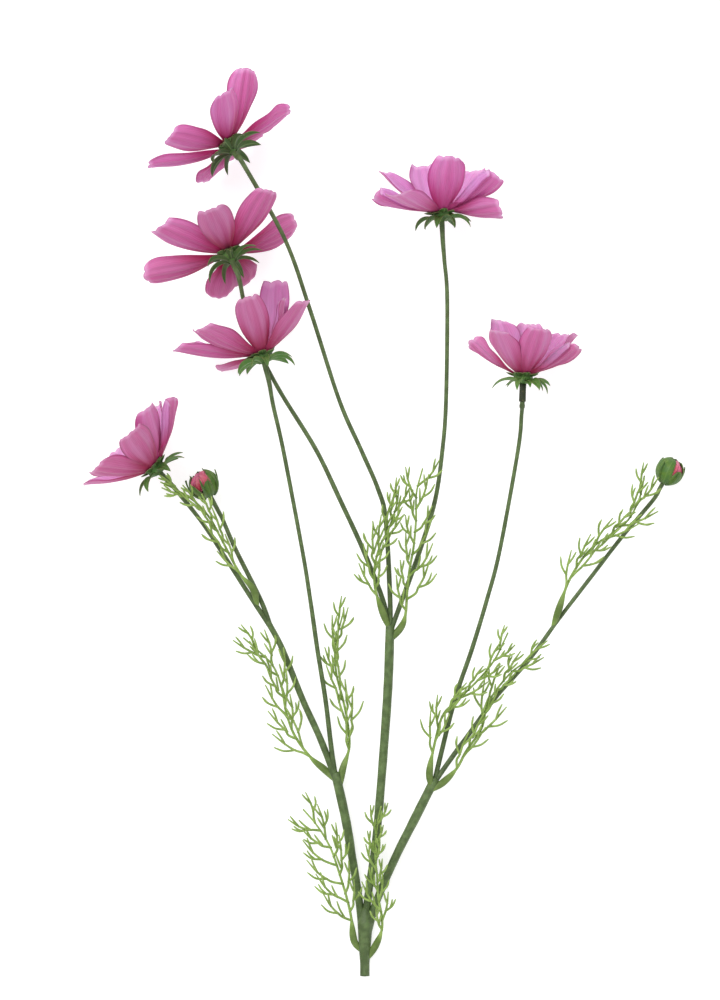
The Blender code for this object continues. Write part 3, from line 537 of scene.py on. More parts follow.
def petal_tissue(name, claw_colour, back, face_colour, streak_sheen):
    """Fresh petal: thin wet tissue with a velvet skin, so it is matt, glows where light comes through,
    is darkest at the claw and along its edges, shows fine veins that fan out from the claw and has pale
    lilac streaks. The dark edges are partly painted shade where petals overlap, and the streaks are partly
    painted sheen."""
    material, tree, shader, place = new_material(
        name, Roughness=0.55, IOR=1.38, Subsurface_Weight=0.3, Subsurface_Radius=(1.0, 0.42, 0.7),
        Subsurface_Scale=MM, Sheen_Weight=0.08, Sheen_Roughness=0.45, Specular_IOR_Level=0.3)
    shader.subsurface_method = "RANDOM_WALK"
    along, across, face, tint, depth = (
        add_node(tree, "Attribute", {"attribute_name": field})
        for field in ("along", "across", "face", "tint", "claw"))
    out = add_node(tree, "Math", ABSOLUTE, _0=across)
    paler = add_node(tree, "MapRange", EASED, Value=along, From_Min=0.4, To_Max=0.3)
    veins = petal_veins(tree, place, across)
    clear = add_node(tree, "MapRange", EASED, Value=along, From_Min=0.05, From_Max=0.95,
                     To_Min=0.4, To_Max=0.16)
    streaks, fibres = petal_streaks(tree, along, across, tint)
    # Pale lilac streaks past the claw: partly the petal's own streaks, and partly painted sheen.
    sheen_streaks = add_node(tree, "MapRange", EASED, Value=streaks, From_Min=0.4, From_Max=0.7, To_Max=0.3)
    beyond_claw = add_node(tree, "MapRange", EASED, Value=along, From_Min=0.1, From_Max=0.6)
    fine = add_node(tree, "MapRange", EASED, Value=fibres, From_Min=0.45, From_Max=0.7, To_Max=0.18)
    # Darker edges: partly the petal's own dark edge, and partly painted shade where petals overlap.
    rim = add_node(tree, "MapRange", EASED, Value=out, From_Min=0.88, To_Max=0.7)
    ragged = add_node(tree, "Math", PLUS, _0=along, _1=add_node(tree, "Math", TIMES, _0=streaks, _1=0.08))
    turned_tip = add_node(tree, "MapRange", EASED, Value=ragged, From_Min=0.95, From_Max=1.02, To_Max=0.45)
    tip_line = add_node(tree, "MapRange", EASED, Value=along, From_Min=0.985, To_Max=0.5)
    body = layered(
        tree, opaque(back), (face, face_colour), (paler, "#D391BD"),
        (claw_share(tree, along, out, depth), claw_colour),
        (add_node(tree, "Math", TIMES, _0=veins, _1=clear), "#9A3068"),
        (add_node(tree, "Math", TIMES, _0=sheen_streaks, _1=beyond_claw), streak_sheen),
        (fine, "#A23A74"), (rim, "#8A3462"), (turned_tip, "#E2B6D4"), (tip_line, "#9A4A78"))
    # Each petal is a little redder or bluer, lighter or darker, than the next.
    body = add_node(tree, "HueSaturation", Color=body,
                    Hue=add_node(tree, "MapRange", EASED, Value=tint, To_Min=0.488, To_Max=0.51),
                    Value=add_node(tree, "MapRange", EASED, Value=tint, To_Min=1.08, To_Max=0.92))
    cells = add_node(tree, "TexNoise", Vector=place, Scale=blotches(0.5), Detail=2.0)
    relief = add_node(tree, "Math", PLUS, _0=add_node(tree, "Math", TIMES, _0=veins, _1=0.8), _1=cells)
    connect(tree, body, shader.inputs["Base Color"])
    bump = add_node(tree, "Bump", Strength=0.45, Distance=0.15 * MM, Height=relief)
    connect(tree, bump, shader.inputs["Normal"])
    return material


def green_tissue(name, colour, pale, dark, roughness, patch_mm):
    """Fresh green tissue with a thin waxy skin: a soft gloss, patches of cells a little apart in colour,
    dark fibres, darker towards each piece's foot, and darker by its shade number, which is the piece's own
    tone and, on the cups, painted shade under the petals. Gives what new_material gives, and its colour."""
    material, tree, shader, place = new_material(
        name, Roughness=roughness, IOR=1.42, Subsurface_Weight=0.12, Subsurface_Radius=(0.4, 0.8, 0.2),
        Subsurface_Scale=MM, Specular_IOR_Level=0.4)
    along, shade = (add_node(tree, "Attribute", {"attribute_name": field}) for field in ("along", "shade"))
    patches, fibres, cells = (
        add_node(tree, "TexNoise", Vector=place, Scale=blotches(size), Detail=detail)
        for size, detail in ((patch_mm, 3.0), (0.5, 4.0), (0.35, 3.0)))
    body = layered(
        tree, opaque(colour),
        (add_node(tree, "MapRange", EASED, Value=patches, From_Min=0.35, From_Max=0.7), pale),
        (add_node(tree, "MapRange", EASED, Value=along, From_Max=0.35, To_Min=0.35, To_Max=0.0), dark),
        (add_node(tree, "MapRange", EASED, Value=fibres, From_Min=0.45, From_Max=0.75, To_Max=0.3), dark),
        # The shade number: the piece's own darker tone, and on the cups painted shade under the petals.
        (shade, "#2A2F20"))
    bump = add_node(tree, "Bump", Strength=0.4, Distance=0.1 * MM, Height=cells)
    connect(tree, bump, shader.inputs["Normal"])
    return material, tree, shader, place, body


def stem_rind(colour):
    """Cut stem: a green rind with small brown flecks."""
    material, tree, shader, place, body = green_tissue("stem_rind", colour, "#647A4A", "#384A28", 0.5, 4.0)
    scars = add_node(tree, "TexNoise", Vector=place, Scale=blotches(1.6), Detail=2.0)
    flecks = add_node(tree, "MapRange", EASED, Value=scars, From_Min=0.62, From_Max=0.75, To_Max=0.45)
    connect(tree, layered(tree, body, (flecks, "#6B6340")), shader.inputs["Base Color"])
    return material


def thread_leaf(colour):
    """Thread leaf: bright, smooth green threads, a little yellower at their tips."""
    material, tree, shader, _, body = green_tissue("thread_leaf", colour, "#98B360", "#5D7B35", 0.45, 5.0)
    along = add_node(tree, "Attribute", {"attribute_name": "along"})
    tips = add_node(tree, "MapRange", EASED, Value=along, From_Min=0.55, To_Max=0.2)
    connect(tree, layered(tree, body, (tips, "#9FB463")), shader.inputs["Base Color"])
    return material


def bract_skin(name, colour, pale, rib_depth):
    """Bract or sepal: leathery green with a pale midrib and a drier, brownish edge."""
    material, tree, shader, _, body = green_tissue(name, colour, pale, "#2F4A24", 0.5, 3.0)
    across, dry = (add_node(tree, "Attribute", {"attribute_name": field}) for field in ("across", "dry"))
    out = add_node(tree, "Math", ABSOLUTE, _0=across)
    rib = add_node(tree, "MapRange", EASED, Value=out, From_Max=0.16, To_Min=rib_depth, To_Max=0.0)
    edge = add_node(tree, "MapRange", EASED, Value=out, From_Min=0.8)
    body = layered(tree, body, (rib, "#8FAE6A"), (add_node(tree, "Math", TIMES, _0=edge, _1=dry), "#B79A7C"))
    connect(tree, body, shader.inputs["Base Color"])
    return material


def disc_floret(settings):
    """Disc floret: a brown-yellow tube whose tip is dusted with dry, grainy pollen."""
    material, tree, shader, place = new_material(
        "disc_floret", Roughness=0.85, IOR=1.45, Specular_IOR_Level=0.2)
    along = add_node(tree, "Attribute", {"attribute_name": "along"})
    dust, grains = (add_node(tree, "TexNoise", Vector=place, Scale=blotches(size), Detail=2.0)
                    for size in (0.3, 0.2))
    body = layered(
        tree, opaque(settings.tube),
        (add_node(tree, "MapRange", EASED, Value=along, From_Min=0.3, From_Max=0.9), settings.pollen),
        (add_node(tree, "MapRange", EASED, Value=dust, From_Min=0.4, From_Max=0.7, To_Max=0.5), "#F7D04A"))
    connect(tree, body, shader.inputs["Base Color"])
    bump = add_node(tree, "Bump", Strength=0.6, Distance=0.1 * MM, Height=grains)
    connect(tree, bump, shader.inputs["Normal"])
    return material


# Petals ------------------------------------------------------------------------------------------
PETAL_ROWS = range(0, FINE_STEPS + 1, 2)
PETAL_COLUMNS = [i / 12 - 1 for i in range(25)]
PLAIN_ROWS = (0, 21, 42, 60)
PLAIN_COLUMNS = (-1, -0.5, 0, 0.5, 1)
REST_HEIGHT = 0.2
# What sets one petal apart from the next, each with its lowest and highest value: shares of the set depth
# of the pleats and lift of the waves; sway of the tip; extra curl; pleats across it and where they start;
# depth of its teeth; slant of its tip; how much it widens; and share of the tip's rounding.
PETAL_NATURE = {"pleat": (0.6, 1.4), "wave": (0.4, 1.2), "sway": (-1.4, 1.4), "curl": (-5, 7),
                "pleats": (3.4, 4.6), "phase": (0, 2 * math.pi), "notch": (0.2, 0.8), "slant": (-1.1, 1.1),
                "taper": (-0.16, 0.12), "rounding": (0.25, 1.0)}
# Shares of a petal's length over which its pleats deepen past the claw, fade by PLEAT_LOSS towards the tip,
# and its rolled margin turns back.
PLEAT_RISE, PLEAT_FADE, FOLD_RISE = (0.05, 0.4), (0.8, 1.0), (0.1, 0.45)
PLEAT_LOSS = 0.6
# The edge's waves: how many there are along the petal, and how far one lags across it.
WAVES, WAVE_LAG = 1.7, 0.35
# Petals whose margin is rolled back: the petal's place in its flower, and which side of it.
FOLDED_MARGINS = {"flower_4": {2: -1}, "flower_5": {1: -1, 6: 1}, "flower_6": {1: -1}}
FOLD_START = 0.62
FOLD_ANGLE = math.radians(135)
# How red each flower is against the others, from 0 for violet to 1, and how deep its claws' colour is.
PETAL_LOOKS = {"flower_1": (0.1, 1.0), "flower_2": (0.75, 1.0), "flower_3": (0.65, 0.95),
               "flower_4": (0.5, 0.95), "flower_5": (0.15, 0.72), "flower_6": (0.7, 0.92)}
TINT_RANGE = (-0.3, 0.3)
PETAL_SEED = 100


def petal_nature(settings, rng, fold):
    """One petal's own nature; fold is the side whose margin is rolled back, or 0."""
    nature = drawn(rng, PETAL_NATURE)
    nature.fold = fold
    nature.pleat *= settings.pleat / MM
    nature.wave *= settings.wave / MM
    nature.rounding *= TIP_ROUNDING
    return nature


def tip_share(v):
    """How far past its widest a petal is, squared."""
    return max(0.0, (v - WIDEST) / (1 - WIDEST)) ** 2


def petal_outline(v):
    """Half width along the petal as a share of its widest."""
    if v < WIDEST:
        return CLAW_SHARE + (1 - CLAW_SHARE) * math.sin(math.pi / 2 * v / WIDEST)
    return 1 - TIP_NARROWING * tip_share(v)


def petal_grid(head, where, petal, rows, columns, nature):
    """Points on a petal's middle surface from root to tip; rows are steps out of FINE_STEPS."""
    origin, axis, near, right = where
    clock, opening, reach, twist = petal
    length = head["length"] * reach
    radial = turned(near, right, math.radians(clock))[0]
    sideways = axis.cross(radial)
    radius, height = ROOT_RADIUS, 0.0
    grid = []
    for step in range(FINE_STEPS + 1):
        v = step / FINE_STEPS
        slope = math.radians(opening + BOW * (0.5 - v) + (TIP_CURL + nature.curl) * tip_share(v))
        if step in rows:
            forward, outward = turned(axis, radial, slope)
            across, up = turned(sideways, -outward, math.radians(twist) * v)
            midrib = origin + axis * height + radial * radius + across * (nature.sway * v * v)
            grid.append(petal_row(head, v, length, midrib, across, up, forward, columns, nature))
        radius += math.sin(slope) * length / FINE_STEPS
        height += math.cos(slope) * length / FINE_STEPS
    return grid


def petal_row(head, v, length, midrib, across, up, forward, columns, nature):
    """Points across a petal: its cup, pleats, waved edges, toothed tip and rolled margin."""
    half_width = head["half_width"] * petal_outline(v) * (1 + nature.taper * v * v)
    pleat = nature.pleat * ease(v, *PLEAT_RISE) * (1 - PLEAT_LOSS * ease(v, *PLEAT_FADE))
    points = []
    for u in columns:
        lift = CUP * half_width * u * u + pleat * math.cos(math.pi * nature.pleats * u + nature.phase)
        swing = math.sin(2 * math.pi * (WAVES * v + WAVE_LAG * u) + nature.phase)
        lift += nature.wave * v * abs(u) ** 3 * swing
        tooth = TOOTH * math.cos(2 * math.pi * u)
        if nature.notch:
            tooth = TOOTH * nature.notch * (2 * abs(math.cos(math.pi * u)) ** 0.7 - 1)
        tip = v ** 6 * length * (tooth - nature.rounding * abs(u) ** 3) + nature.slant * u * v ** 4
        aside = half_width * u
        loose = max(u * nature.fold - FOLD_START, 0.0) * half_width
        if loose:
            # The margin rolls back over the petal's outer side from here.
            roll = FOLD_ANGLE * ease(v, *FOLD_RISE) * min(1.0, loose)
            aside = nature.fold * (half_width * FOLD_START + loose * math.cos(roll))
            lift = CUP * half_width * FOLD_START ** 2
            lift += loose * (2 * CUP * FOLD_START * math.cos(roll) - math.sin(roll))
        points.append(midrib + across * aside + up * lift + forward * tip)
    return points


def head_frame(head):
    """Crown and axes of a head that rests on its lowest petal, as the solids' plain petals have it."""
    flat = (Vector(), *axes(head["bearing"], head["pitch"]))
    plain = SimpleNamespace(**dict.fromkeys(PETAL_NATURE, 0.0), fold=0)
    plain.rounding = TIP_ROUNDING
    lowest = 0.0
    for petal in head["petals"]:
        grid = petal_grid(head, flat, petal, PLAIN_ROWS, PLAIN_COLUMNS, plain)
        lowest = min(lowest, min(point.z for row in grid for point in row))
    return (Vector((*head["crown"], PETAL_THICKNESS / 2 - lowest)), *flat[1:])


HEADS = {name: head_frame(head) for name, head in FLOWERS.items()}


class COSMOS_OT_petals(bpy.types.Operator):
    """Build the six flowers' petals"""

    bl_idname = "cosmos.petals"
    bl_label = "Petals"

    def execute(self, context):
        settings = context.scene.cosmos_petals
        material = petal_tissue("petal_tissue", settings.claw, settings.back, settings.face, "#D2A2CF")
        for number, (name, head) in enumerate(FLOWERS.items()):
            rng = random.Random(PETAL_SEED + number)
            draft = Draft("along", "across", "face", "tint", "claw")
            redness, claw = PETAL_LOOKS[name]
            folds = FOLDED_MARGINS.get(name, {})
            for place, petal in enumerate(head["petals"]):
                nature = petal_nature(settings, rng, folds.get(place, 0))
                grid = petal_grid(head, HEADS[name], petal, PETAL_ROWS, PETAL_COLUMNS, nature)
                for row in grid:
                    for point in row:
                        point.z = max(point.z, REST_HEIGHT)
                tint = redness + rng.uniform(*TINT_RANGE)
                add_blade(draft, grid, settings.thickness / MM, tint=tint, claw=claw)
            draft.piece(name + "_bloom", material, name + "_petals")
        return {"FINISHED"}


# Calyx -------------------------------------------------------------------------------------------
# The cup's outline from the stalk up, as distance from the axis and height on it.
CUP_PROFILE = [(1.6, -5.2), (1.9, -4.9), (2.5, -4.4), (3.3, -3.9), (4.2, -3.4), (5.0, -2.8), (5.2, -2.1),
               (5.1, -1.2), (5.7, -0.4), (5.9, 0.2), (5.2, 0.9), (3.5, 1.2)]
CUP_SIDES = 48
CUP_RIB = 0.03
# How dark the cup is at its foot, the painted shade that it gains under the petals, and the heights
# # between which it does.
CUP_SHADE, CUP_SHADOW, CUP_SHADOW_RISE = 0.2, 0.25, (-3.0, -0.4)
BRACT_SEED = 200
BRACT_STEPS = 16
BRACT_COLUMNS = [k / 4 for k in range(-4, 5)]
# A bract is widest at this share of its length, its foot is this wide against that, and it ends bluntly.
BRACT_WIDEST, BRACT_FOOT_WIDTH, BRACT_TIP_WIDTH = 0.3, 0.62, 0.02
# A trough across the bract, with the midrib's groove down its middle, as shares of its half width.
TROUGH, GROOVE = 0.3, 0.16
# A bract's foot climbs the cup before it turns out. Every other one starts a little lower.
BRACT_FOOT = (2.3, -4.7)
FOOT_STAGGER = 0.25
FOOT_LENGTH = 2.2
FOOT_TURN = 34
# What sets one bract apart from the next, each with its lowest and highest value: degrees added to its
# droop; shares of the length and the width; lean of its tip; its roll in radians; and added darkness.
BRACT_NATURE = {"droop": (-12, 6), "length": (0.9, 1.05), "width": (0.85, 1.15), "lean": (-1.6, 1.6),
                "roll": (-0.7, 0.7), "shade": (0.0, 0.25)}
BRACT_DRYNESS = 0.2
LOBED_SHARE = 0.35
LOBE_CLOCK, LOBE_LENGTH, LOBE_WIDTH = 11, 0.72, 0.6
# The pale inner bracts lie pressed against the backs of the petals, a little to one side of each and a few
# degrees further open.
INNER_BRACT_ROOT = (ROOT_RADIUS - 0.6, -1.1)
INNER_BRACT_LENGTH = 5.5
INNER_BRACT_HALF_WIDTH = 2.4
INNER_BRACT_THICKNESS = 0.3
INNER_BRACT_CLOCK, INNER_BRACT_OPENING, INNER_BRACT_BEND = 4, 5, 4
INNER_BRACT_SHADE, INNER_BRACT_DRYNESS = 0.5, 0.8
# How dark each flower's bracts are, and whether they have side lobes.
BRACT_LOOKS = {"flower_1": (0.55, False), "flower_2": (0.35, False), "flower_3": (0.15, False),
               "flower_4": (0.3, False), "flower_5": (0.35, False), "flower_6": (0.0, True)}


def bract_outline(v):
    """Half width along a bract as a share of its widest."""
    if v < BRACT_WIDEST:
        return BRACT_FOOT_WIDTH + (1 - BRACT_FOOT_WIDTH) * ease(v, 0.0, BRACT_WIDEST)
    return max(1 - ((v - BRACT_WIDEST) / (1 - BRACT_WIDEST)) ** 2.8, BRACT_TIP_WIDTH)


def bract_grid(where, clock, slopes, length, half_width, start, lean=0.0, roll=0.0):
    """Points on a bract's middle surface; slopes are its angles from the axis at its root and its tip."""
    origin, axis, near, right = where
    radial = turned(near, right, math.radians(clock))[0]
    sideways = axis.cross(radial)
    radius, height = start
    grid = []
    for step in range(BRACT_STEPS + 1):
        v = step / BRACT_STEPS
        slope = math.radians(slopes[0] + (slopes[1] - slopes[0]) * v)
        across, up = turned(sideways, -turned(axis, radial, slope)[1], roll * ease(v, 0.1, 0.6))
        width = half_width * bract_outline(v)
        centre = origin + axis * height + radial * radius + sideways * (lean * v * v)
        row = []
        for u in BRACT_COLUMNS:
            lift = width * (TROUGH * u * u - GROOVE * (1 - abs(u)) ** 6)
            row.append(centre + across * (width * u) + up * lift)
        grid.append(row)
        radius += math.sin(slope) * length / BRACT_STEPS
        height += math.cos(slope) * length / BRACT_STEPS
    return grid


def add_cup(draft, where):
    """Green cup under the petals, with a shallow rib below each bract; it is painted darker under the petals,
    as painted shade.
    """
    loops = []
    for radius, height in CUP_PROFILE:
        # Painted shade: the cup darkens towards its top, under the petals.
        shade = CUP_SHADE + CUP_SHADOW * ease(height, *CUP_SHADOW_RISE)
        loop = [beside_axis(where, clock, radius * (1 + CUP_RIB * math.cos(8 * clock)), height)
                for clock in clocks(CUP_SIDES)]
        loops.append([draft.add(point, along=0.3, across=0.5, shade=shade) for point in loop])
    add_loops(draft, loops)


def add_bracts(draft, where, head, look, thickness, rng):
    """Pointed bracts that climb the cup and turn back; some have a slim lobe on either side."""
    darkness, lobed = look
    for i, (clock, droop) in enumerate(head["bracts"]):
        nature = drawn(rng, BRACT_NATURE)
        start = (BRACT_FOOT[0], BRACT_FOOT[1] - FOOT_STAGGER * (i % 2))
        slopes = (BRACT_SPREAD - FOOT_TURN, droop + nature.droop)
        length = (BRACT_LENGTH + FOOT_LENGTH) * nature.length
        width = BRACT_HALF_WIDTH * nature.width
        grids = [bract_grid(where, clock, slopes, length, width, start, nature.lean, nature.roll)]
        if lobed and rng.random() < LOBED_SHARE:
            grids += [bract_grid(where, clock + side * LOBE_CLOCK, slopes, length * LOBE_LENGTH,
                                 width * LOBE_WIDTH, start, nature.lean + side, nature.roll)
                      for side in (-1, 1)]
        for grid in grids:
            add_blade(draft, grid, thickness, shade=darkness + nature.shade, dry=BRACT_DRYNESS)


def add_inner_bracts(draft, where, head):
    """Short pale bract behind each petal's root."""
    for clock, opening, _, _ in head["petals"]:
        slope = opening + BOW / 2 + INNER_BRACT_OPENING
        grid = bract_grid(where, clock + INNER_BRACT_CLOCK, (slope, slope - INNER_BRACT_BEND),
                          INNER_BRACT_LENGTH, INNER_BRACT_HALF_WIDTH, INNER_BRACT_ROOT)
        add_blade(draft, grid, INNER_BRACT_THICKNESS, shade=INNER_BRACT_SHADE, dry=INNER_BRACT_DRYNESS)


class COSMOS_OT_calyces(bpy.types.Operator):
    """Build each flower's cup and its outer and inner bracts"""

    bl_idname = "cosmos.calyces"
    bl_label = "Calyces"

    def execute(self, context):
        settings = context.scene.cosmos_greens
        material = bract_skin("bract", settings.bract, "#6C9048", 0.45)
        for number, (name, head) in enumerate(FLOWERS.items()):
            rng = random.Random(BRACT_SEED + number)
            where = HEADS[name]
            draft = Draft("along", "across", "shade", "dry")
            add_cup(draft, where)
            add_bracts(draft, where, head, BRACT_LOOKS[name], settings.bract_thickness / MM, rng)
            add_inner_bracts(draft, where, head)
            draft.piece(name + "_cup", material, name + "_calyx")
        return {"FINISHED"}


# Disc --------------------------------------------------------------------------------------------
GOLDEN_ANGLE = math.pi * (3 - math.sqrt(5))
FLORET_SEED = 300
DOME_SIDES, DOME_LOOPS = 24, 8
DOME_RADIUS, DOME_FOOT, DOME_RISE = 3.6, DISC_BACK - 0.4, 2.3
# The florets' feet lie just under the dome's skin, and the outer ones lean out and are longer.
FEET_RADIUS, FEET_FOOT, FEET_RISE = 3.5, DISC_BACK - 0.2, 2.1
# Angles in radians: how far from the dome's top the outermost feet stand, and how far those florets lean.
FEET_SPREAD, FLORET_LEAN = 1.45, math.radians(72)
# A floret's length at the middle, what it gains at the rim, and the shares of it that are drawn from.
FLORET_LENGTH, FLORET_GROWTH, FLORET_RANGE = 0.7, 0.9, (0.85, 1.15)
FLORET_SIDES = 6
# A floret's tube: shares of its length, and half widths there.
FLORET_SHARES = (0.0, 0.5, 0.9, 1.0)
FLORET_WIDTHS = (0.2, 0.24, 0.36, 0.26)


def add_dome(draft, where):
    """Plain dome that the florets stand on."""
    loops = []
    for step in range(DOME_LOOPS):
        latitude = step / (DOME_LOOPS - 0.5) * math.pi / 2
        reach, height = DOME_RADIUS * math.cos(latitude), DOME_FOOT + DOME_RISE * math.sin(latitude)
        loops.append([draft.add(beside_axis(where, clock, reach, height)) for clock in clocks(DOME_SIDES)])
    add_loops(draft, loops)


def add_florets(draft, where, count, rng):
    """Tubular florets that stand in a sunflower spiral on the dome."""
    for k in range(count):
        share = math.sqrt((k + 0.5) / count)
        clock = GOLDEN_ANGLE * k
        outward = turned(where[2], where[3], clock)[0]
        way = turned(where[1], outward, FLORET_LEAN * share)[0]
        height = FEET_FOOT + FEET_RISE * math.cos(FEET_SPREAD * share)
        foot = beside_axis(where, clock, FEET_RADIUS * share, height)
        length = (FLORET_LENGTH + FLORET_GROWTH * share) * rng.uniform(*FLORET_RANGE)
        path = [foot + way * (length * part) for part in FLORET_SHARES]
        add_tube(draft, path, FLORET_WIDTHS, FLORET_SIDES)


class COSMOS_OT_discs(bpy.types.Operator):
    """Build the domed discs of florets"""

    bl_idname = "cosmos.discs"
    bl_label = "Discs"

    def execute(self, context):
        settings = context.scene.cosmos_discs
        material = disc_floret(settings)
        for number, name in enumerate(FLOWERS):
            rng = random.Random(FLORET_SEED + number)
            draft = Draft("along")
            add_dome(draft, HEADS[name])
            add_florets(draft, HEADS[name], settings.florets, rng)
            draft.piece(name + "_florets", material, name + "_disc")
        return {"FINISHED"}


# Buds --------------------------------------------------------------------------------------------
# Each bud's count of slim bracts, how far their tips stand off it, and how strongly its sepals stand out.
BUD_LOOKS = {"bud_1": (8, 2.4, 1.0), "bud_2": (5, 0.9, 0.35)}
# A sepal that reaches less high than this, in degrees, stands open and shows the petals.
OPEN_TIP = 45
BUD_SEED = 400
SCALE_STEPS = 14
SCALE_COLUMNS = [k / 4 for k in range(-4, 5)]
# A scale's outline is a half wave that starts this share in, with this half width left at its tip.
SCALE_ROOT, SCALE_TIP = 0.16, 0.04
# Height of a scale's midrib, and how far its edges hug the bud.
SCALE_RIDGE, SCALE_HUG = 0.25, 0.35
BUD_SIDES = 24
SEPAL_HALF_WIDTH, SEPAL_THICKNESS = 4.1, 0.55
# How far a sepal lies inside the bud's radius, how much deeper every other one lies, and its tip's lift.
SEPAL_INSET, SEPAL_OVERLAP, SEPAL_LIFT = 0.15, 0.45, 0.3
# Closed sepals reach higher and open ones less high, in degrees, than the solids' plain ones.
CLOSED_GAIN, OPEN_LOSS = 4, 9
# Sepals beside an opening are narrower and lean away from it, in radians.
ASIDE_NARROWING, ASIDE_LEAN = 0.8, 0.32
SEPAL_FULLNESS = 0.42
SEPAL_DRYNESS = 0.45
SLIM_HALF_WIDTH, SLIM_THICKNESS = 0.9, 0.4
SLIM_GAP, SLIM_SHADE, SLIM_DRYNESS = 0.3, 0.25, 0.1
CRUMPLE_COUNT = 12
CRUMPLE_HALF_WIDTH, CRUMPLE_THICKNESS, CRUMPLE_DEPTH = 3.0, 0.4, 0.42
# How far the crumpled petals lie inside the bud's radius, and how much deeper the next of three layers lies;
# the latitude of their roots in degrees, their turn against the sepals in radians and the lift of their tips.
CRUMPLE_INSET, CRUMPLE_LAYER = 1.2, 0.35
CRUMPLE_BASE, CRUMPLE_CLOCK, CRUMPLE_LIFT = -10, 0.2, -0.3
CORE_INSET, CORE_RIBS = 2.2, 0.25
# What sets one piece of a bud apart from the next, each with its lowest and highest value. Tips are
# latitudes in degrees; clocks, skews and phases are in radians.
SEPAL_NATURE = {"skew": (-0.06, 0.06), "shade": (0.0, 0.2)}
SLIM_NATURE = {"clock": (-0.15, 0.15), "tip": (15, 45), "skew": (-0.15, 0.15)}
CRUMPLE_NATURE = {"tip": (80, 104), "skew": (0.2, 0.6), "phase": (0, 6), "tint": (0.2, 1.0),
                  "claw": (0.2, 1.0)}


def globe_point(where, radius, clock, latitude):
    """Point on a globe; clock and latitude are in radians."""
    return beside_axis(where, clock, radius * math.cos(latitude), radius * math.sin(latitude))


def add_globe_bands(draft, where, bands, ribs=0.0, **values):
    """Skin through bands round a globe; a band is its latitude in degrees and its radius."""
    loops = []
    for latitude, radius in bands:
        loop = []
        for clock in clocks(BUD_SIDES):
            out = radius + ribs * math.cos(9 * clock + latitude)
            loop.append(draft.add(globe_point(where, out, clock, math.radians(latitude)), **values))
        loops.append(loop)
    add_loops(draft, loops)


def scale_grid(where, radius, clock, base, tip, half_width, lift=0.0, skew=0.0, crumple=0.0, phase=0.0,
               fullness=0.75, relief=1.0):
    """Points of a pointed scale that hugs a globe from latitude base to latitude tip. Lift bends its tip
    out, skew leans it aside, crumple folds it, fullness below 1 blunts it, relief raises its midrib."""
    grid = []
    for i in range(SCALE_STEPS + 1):
        v = i / SCALE_STEPS
        latitude = math.radians(base + (tip - base) * v)
        stage = (SCALE_ROOT + (1 - SCALE_ROOT) * v) ** 0.9
        width = half_width * math.sin(math.pi * stage) ** fullness + SCALE_TIP
        spread = width / max(radius * math.cos(latitude), 1.5)
        row = []
        for u in SCALE_COLUMNS:
            fold = crumple * math.cos(5 * u + 7 * v + phase)
            out = radius + lift * v ** 3 + fold
            out += relief * (SCALE_RIDGE * (1 - abs(u)) ** 4 - SCALE_HUG * u * u)
            row.append(globe_point(where, out, clock + spread * u + skew * v, latitude))
        grid.append(row)
    return grid


def add_sepals(draft, where, bud, relief, rng):
    """Broad sepals that close over the bud, except beside an opening, where they lean away from it."""
    tips = bud["tips"]
    for i, (clock, tip) in enumerate(zip(clocks(len(tips)), tips)):
        nature = drawn(rng, SEPAL_NATURE)
        aside = (tips[i - 1] < OPEN_TIP) - (tips[(i + 1) % len(tips)] < OPEN_TIP)
        tip += CLOSED_GAIN if tip > OPEN_TIP else -OPEN_LOSS
        radius = bud["radius"] - SEPAL_INSET - SEPAL_OVERLAP * relief * (i % 2)
        half_width = SEPAL_HALF_WIDTH - ASIDE_NARROWING * abs(aside)
        grid = scale_grid(where, radius, clock, -BUD_BASE, tip, half_width, SEPAL_LIFT,
                          ASIDE_LEAN * aside + nature.skew, fullness=SEPAL_FULLNESS, relief=relief)
        add_blade(draft, grid, SEPAL_THICKNESS, shade=nature.shade * relief, dry=SEPAL_DRYNESS * relief)


def add_slim_bracts(draft, where, bud, count, stand, rng):
    """Slim bracts whose tips stand off the bud."""
    for i in range(count):
        nature = drawn(rng, SLIM_NATURE)
        clock = 2 * math.pi * (i + 0.5) / count + nature.clock
        grid = scale_grid(where, bud["radius"] + SLIM_GAP, clock, -BUD_BASE, nature.tip, SLIM_HALF_WIDTH,
                          stand, nature.skew)
        add_blade(draft, grid, SLIM_THICKNESS, shade=SLIM_SHADE, dry=SLIM_DRYNESS)


def add_crumple(draft, where, bud, rng):
    """Crumpled petals packed over a ribbed core."""
    core = [(latitude, bud["radius"] - CORE_INSET) for latitude in range(-20, 90, 12)]
    add_globe_bands(draft, where, core, CORE_RIBS, along=0.6, tint=0.2)
    for i, clock in enumerate(clocks(CRUMPLE_COUNT)):
        nature = drawn(rng, CRUMPLE_NATURE)
        radius = bud["radius"] - CRUMPLE_INSET - CRUMPLE_LAYER * (i % 3)
        grid = scale_grid(where, radius, clock + CRUMPLE_CLOCK, CRUMPLE_BASE, nature.tip, CRUMPLE_HALF_WIDTH,
                          CRUMPLE_LIFT, nature.skew, CRUMPLE_DEPTH, nature.phase)
        add_blade(draft, grid, CRUMPLE_THICKNESS, tint=nature.tint, claw=nature.claw)


